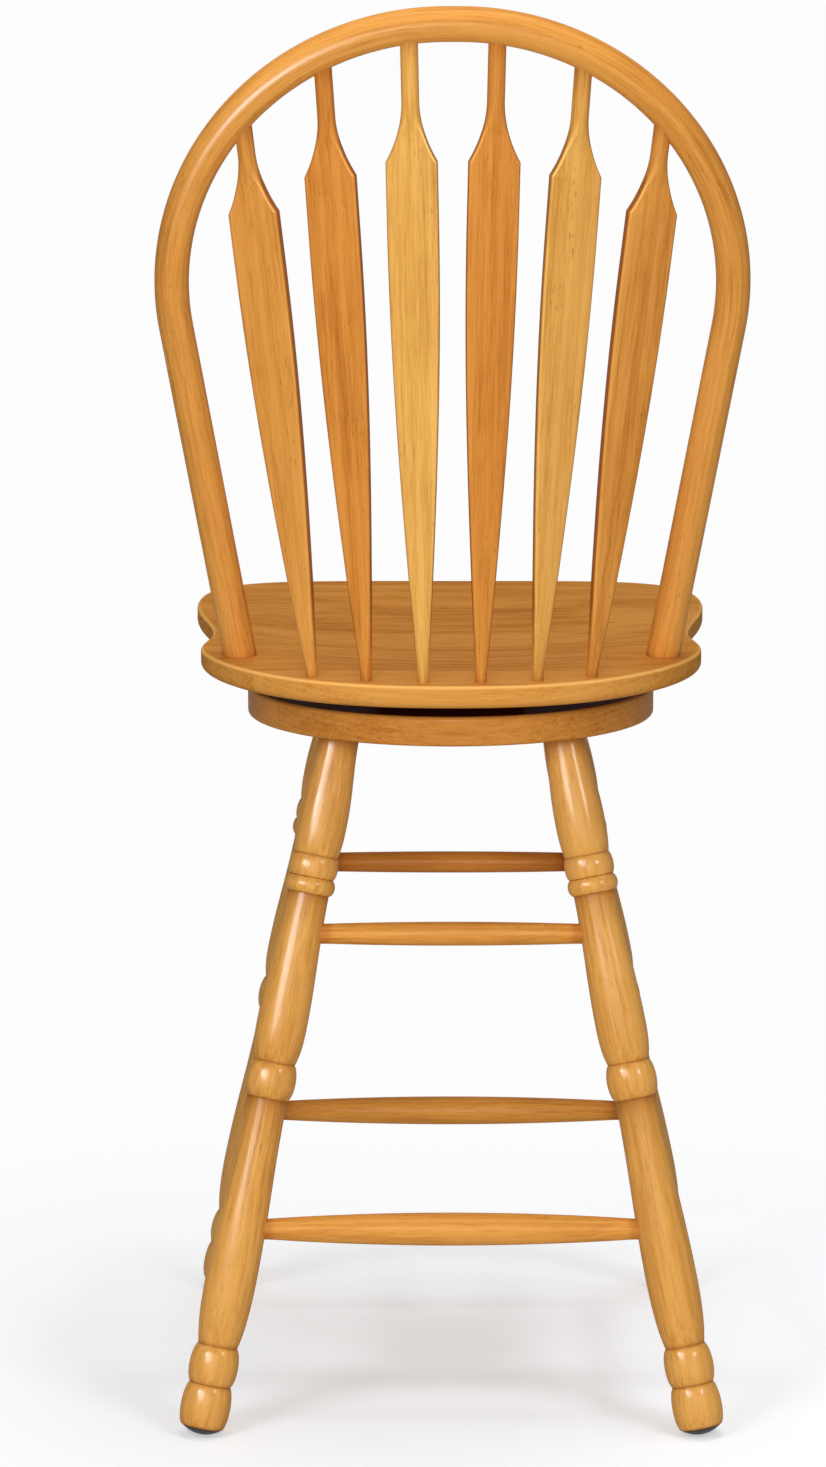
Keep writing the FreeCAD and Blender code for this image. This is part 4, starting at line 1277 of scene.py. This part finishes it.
def light_stool(scene, stage, floor):
    """Soft lamps for the stool, lamps for the floor alone, and gleams for the legs and the bow."""
    front = softbox("front_softbox", stage.front_power)
    far = softbox("far_softbox", stage.far_power)
    far.visible_glossy = False
    top = softbox("top_softbox", stage.top_power)
    for lamp in (front, far, top):
        light_only(lamp, [floor], "EXCLUDE")
    light_only(softbox("floor_softbox", stage.floor_power), [floor], "INCLUDE")
    for name in ("left_foot_softbox", "right_foot_softbox"):
        light_only(softbox(name, stage.foot_power), [floor], "INCLUDE")
    legs = [piece for piece in scene.objects if piece.name.startswith("turned_leg")]
    for name in ("leg_gleam", "left_bead_gleam", "right_bead_gleam"):
        light_only(softbox(name, getattr(stage, name)), legs, "INCLUDE")
    light_only(softbox("bow_gleam", stage.bow_gleam), [scene.objects["bent_bow"]], "INCLUDE")


def stand_camera(scene, stage):
    """Camera behind the stool, pitched down at it."""
    camera = bpy.data.objects.new("camera", bpy.data.cameras.new("camera"))
    scene.collection.objects.link(camera)
    camera.data.sensor_width = SENSOR_MILLIMETRES
    camera.data.lens = stage.focal
    camera.data.shift_x = stage.camera_shift
    camera.location = Vector(stage.camera_place) + Vector((0, SWIVEL_BACK, 0))
    camera.rotation_euler = (QUARTER_TURN - stage.camera_pitch, 0, math.pi)
    scene.camera = camera


def seen(tree):
    """One for rays that show the background to the camera, directly, in gloss or through glass."""
    path = tree.add("ShaderNodeLightPath").outputs
    gloss = tree.math("MAXIMUM", path["Is Glossy Ray"], path["Is Transmission Ray"])
    return tree.math("MAXIMUM", path["Is Camera Ray"], gloss)


def soft_surround(scene, stage):
    """World that is white where it is seen, and a weak light from all round elsewhere."""
    scene.world = bpy.data.worlds.new("surround")
    tree = Tree(scene.world)
    strength = tree.remap(seen(tree), 0, 1, stage.surround, 1.0)
    sky = tree.add("ShaderNodeBackground", {"Color": (WHITE, WHITE, WHITE, 1), "Strength": strength})
    tree.add("ShaderNodeOutputWorld", {"Surface": sky.outputs["Background"]})


def floor_finish(colour, lift, fade):
    """Pale floor that takes the stool's shadow near it and turns to plain white further off."""
    material = bpy.data.materials.new("pale_floor")
    tree = Tree(material)
    place = tree.add("ShaderNodeTexCoord").outputs["Object"]
    away = tree.add("ShaderNodeVectorMath", {0: place}, operation="LENGTH").outputs["Value"]
    far = tree.remap(away, *fade, interpolation_type="SMOOTHSTEP")
    shown = seen(tree)
    shade = tree.mix(tree.noise(place, (6, 6, 6), 3.0), rgba(colour, (0.985,) * 3), rgba(colour))
    matt = tree.add("ShaderNodeBsdfDiffuse", {"Color": shade}).outputs["BSDF"]
    lifted = tree.math("MULTIPLY", shown, lift)
    glow = tree.add("ShaderNodeEmission", {"Strength": lifted}).outputs["Emission"]
    white = tree.add("ShaderNodeEmission", {"Strength": WHITE}).outputs["Emission"]
    near = tree.add("ShaderNodeAddShader", {0: matt, 1: glow}).outputs["Shader"]
    share = tree.math("MULTIPLY", far, shown)
    blend = tree.add("ShaderNodeMixShader", {0: share, 1: near, 2: white}).outputs["Shader"]
    tree.add("ShaderNodeOutputMaterial", {"Surface": blend})
    return material


def lay_floor(scene, stage):
    """Square floor under the stool."""
    half = stage.floor_half
    floor_corners = [(-half, -half, 0), (half, -half, 0), (half, half, 0), (-half, half, 0)]
    mesh = bpy.data.meshes.new("floor")
    mesh.from_pydata(floor_corners, [], [(0, 1, 2, 3)])
    mesh.materials.append(floor_finish(scene.stool_colours.floor, stage.floor_lift, stage.floor_fade))
    floor = bpy.data.objects.new("floor", mesh)
    scene.collection.objects.link(floor)
    return floor


class STOOL_OT_stage(bpy.types.Operator):
    """Pale floor, white surround, softboxes, gleams and the camera"""

    bl_idname = "stool.stage"
    bl_label = "Stage"

    def execute(self, context):
        scene, stage = context.scene, context.scene.stool_stage
        scene.view_settings.view_transform = "Standard"
        stand_camera(scene, stage)
        soft_surround(scene, stage)
        light_stool(scene, stage, lay_floor(scene, stage))
        return {"FINISHED"}


class STOOL_PT_pieces(bpy.types.Panel):
    """Lists the stool's pieces, sizes and colours"""

    bl_idname = "STOOL_PT_pieces"
    bl_label = "Stool"
    bl_space_type = "VIEW_3D"
    bl_region_type = "UI"
    bl_category = "Stool"

    def draw(self, context):
        for operator in OPERATORS:
            self.layout.operator(operator.bl_idname)
        for name, group in GROUPS.items():
            box = self.layout.box()
            box.label(text=name.replace("_", " ").capitalize())
            sizes = getattr(context.scene, name)
            for prop in group.__annotations__:
                box.prop(sizes, prop)


GROUPS = {
    "stool_legs": StoolLegSizes,
    "stool_stretchers": StoolStretcherSizes,
    "stool_seat": StoolSeatSizes,
    "stool_back": StoolBackSizes,
    "stool_colours": StoolColours,
    "stool_stage": StoolStage,
}
OPERATORS = (
    STOOL_OT_legs,
    STOOL_OT_glides,
    STOOL_OT_stretchers,
    STOOL_OT_disc,
    STOOL_OT_swivel,
    STOOL_OT_seat,
    STOOL_OT_bow,
    STOOL_OT_spindles,
    STOOL_OT_stage,
)
CLASSES = (*GROUPS.values(), *OPERATORS, STOOL_PT_pieces)


def register():
    for kind in CLASSES:
        bpy.utils.register_class(kind)
    for name, group in GROUPS.items():
        setattr(bpy.types.Scene, name, bpy.props.PointerProperty(type=group))


def unregister():
    for name in GROUPS:
        delattr(bpy.types.Scene, name)
    for kind in reversed(CLASSES):
        bpy.utils.unregister_class(kind)


def main():
    """Registers the add-on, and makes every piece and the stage."""
    register()
    bpy.ops.stool.legs()
    bpy.ops.stool.glides()
    bpy.ops.stool.stretchers()
    bpy.ops.stool.disc()
    bpy.ops.stool.swivel()
    bpy.ops.stool.seat()
    bpy.ops.stool.bow()
    bpy.ops.stool.spindles()
    bpy.ops.stool.stage()


if __name__ == "__main__":
    main()
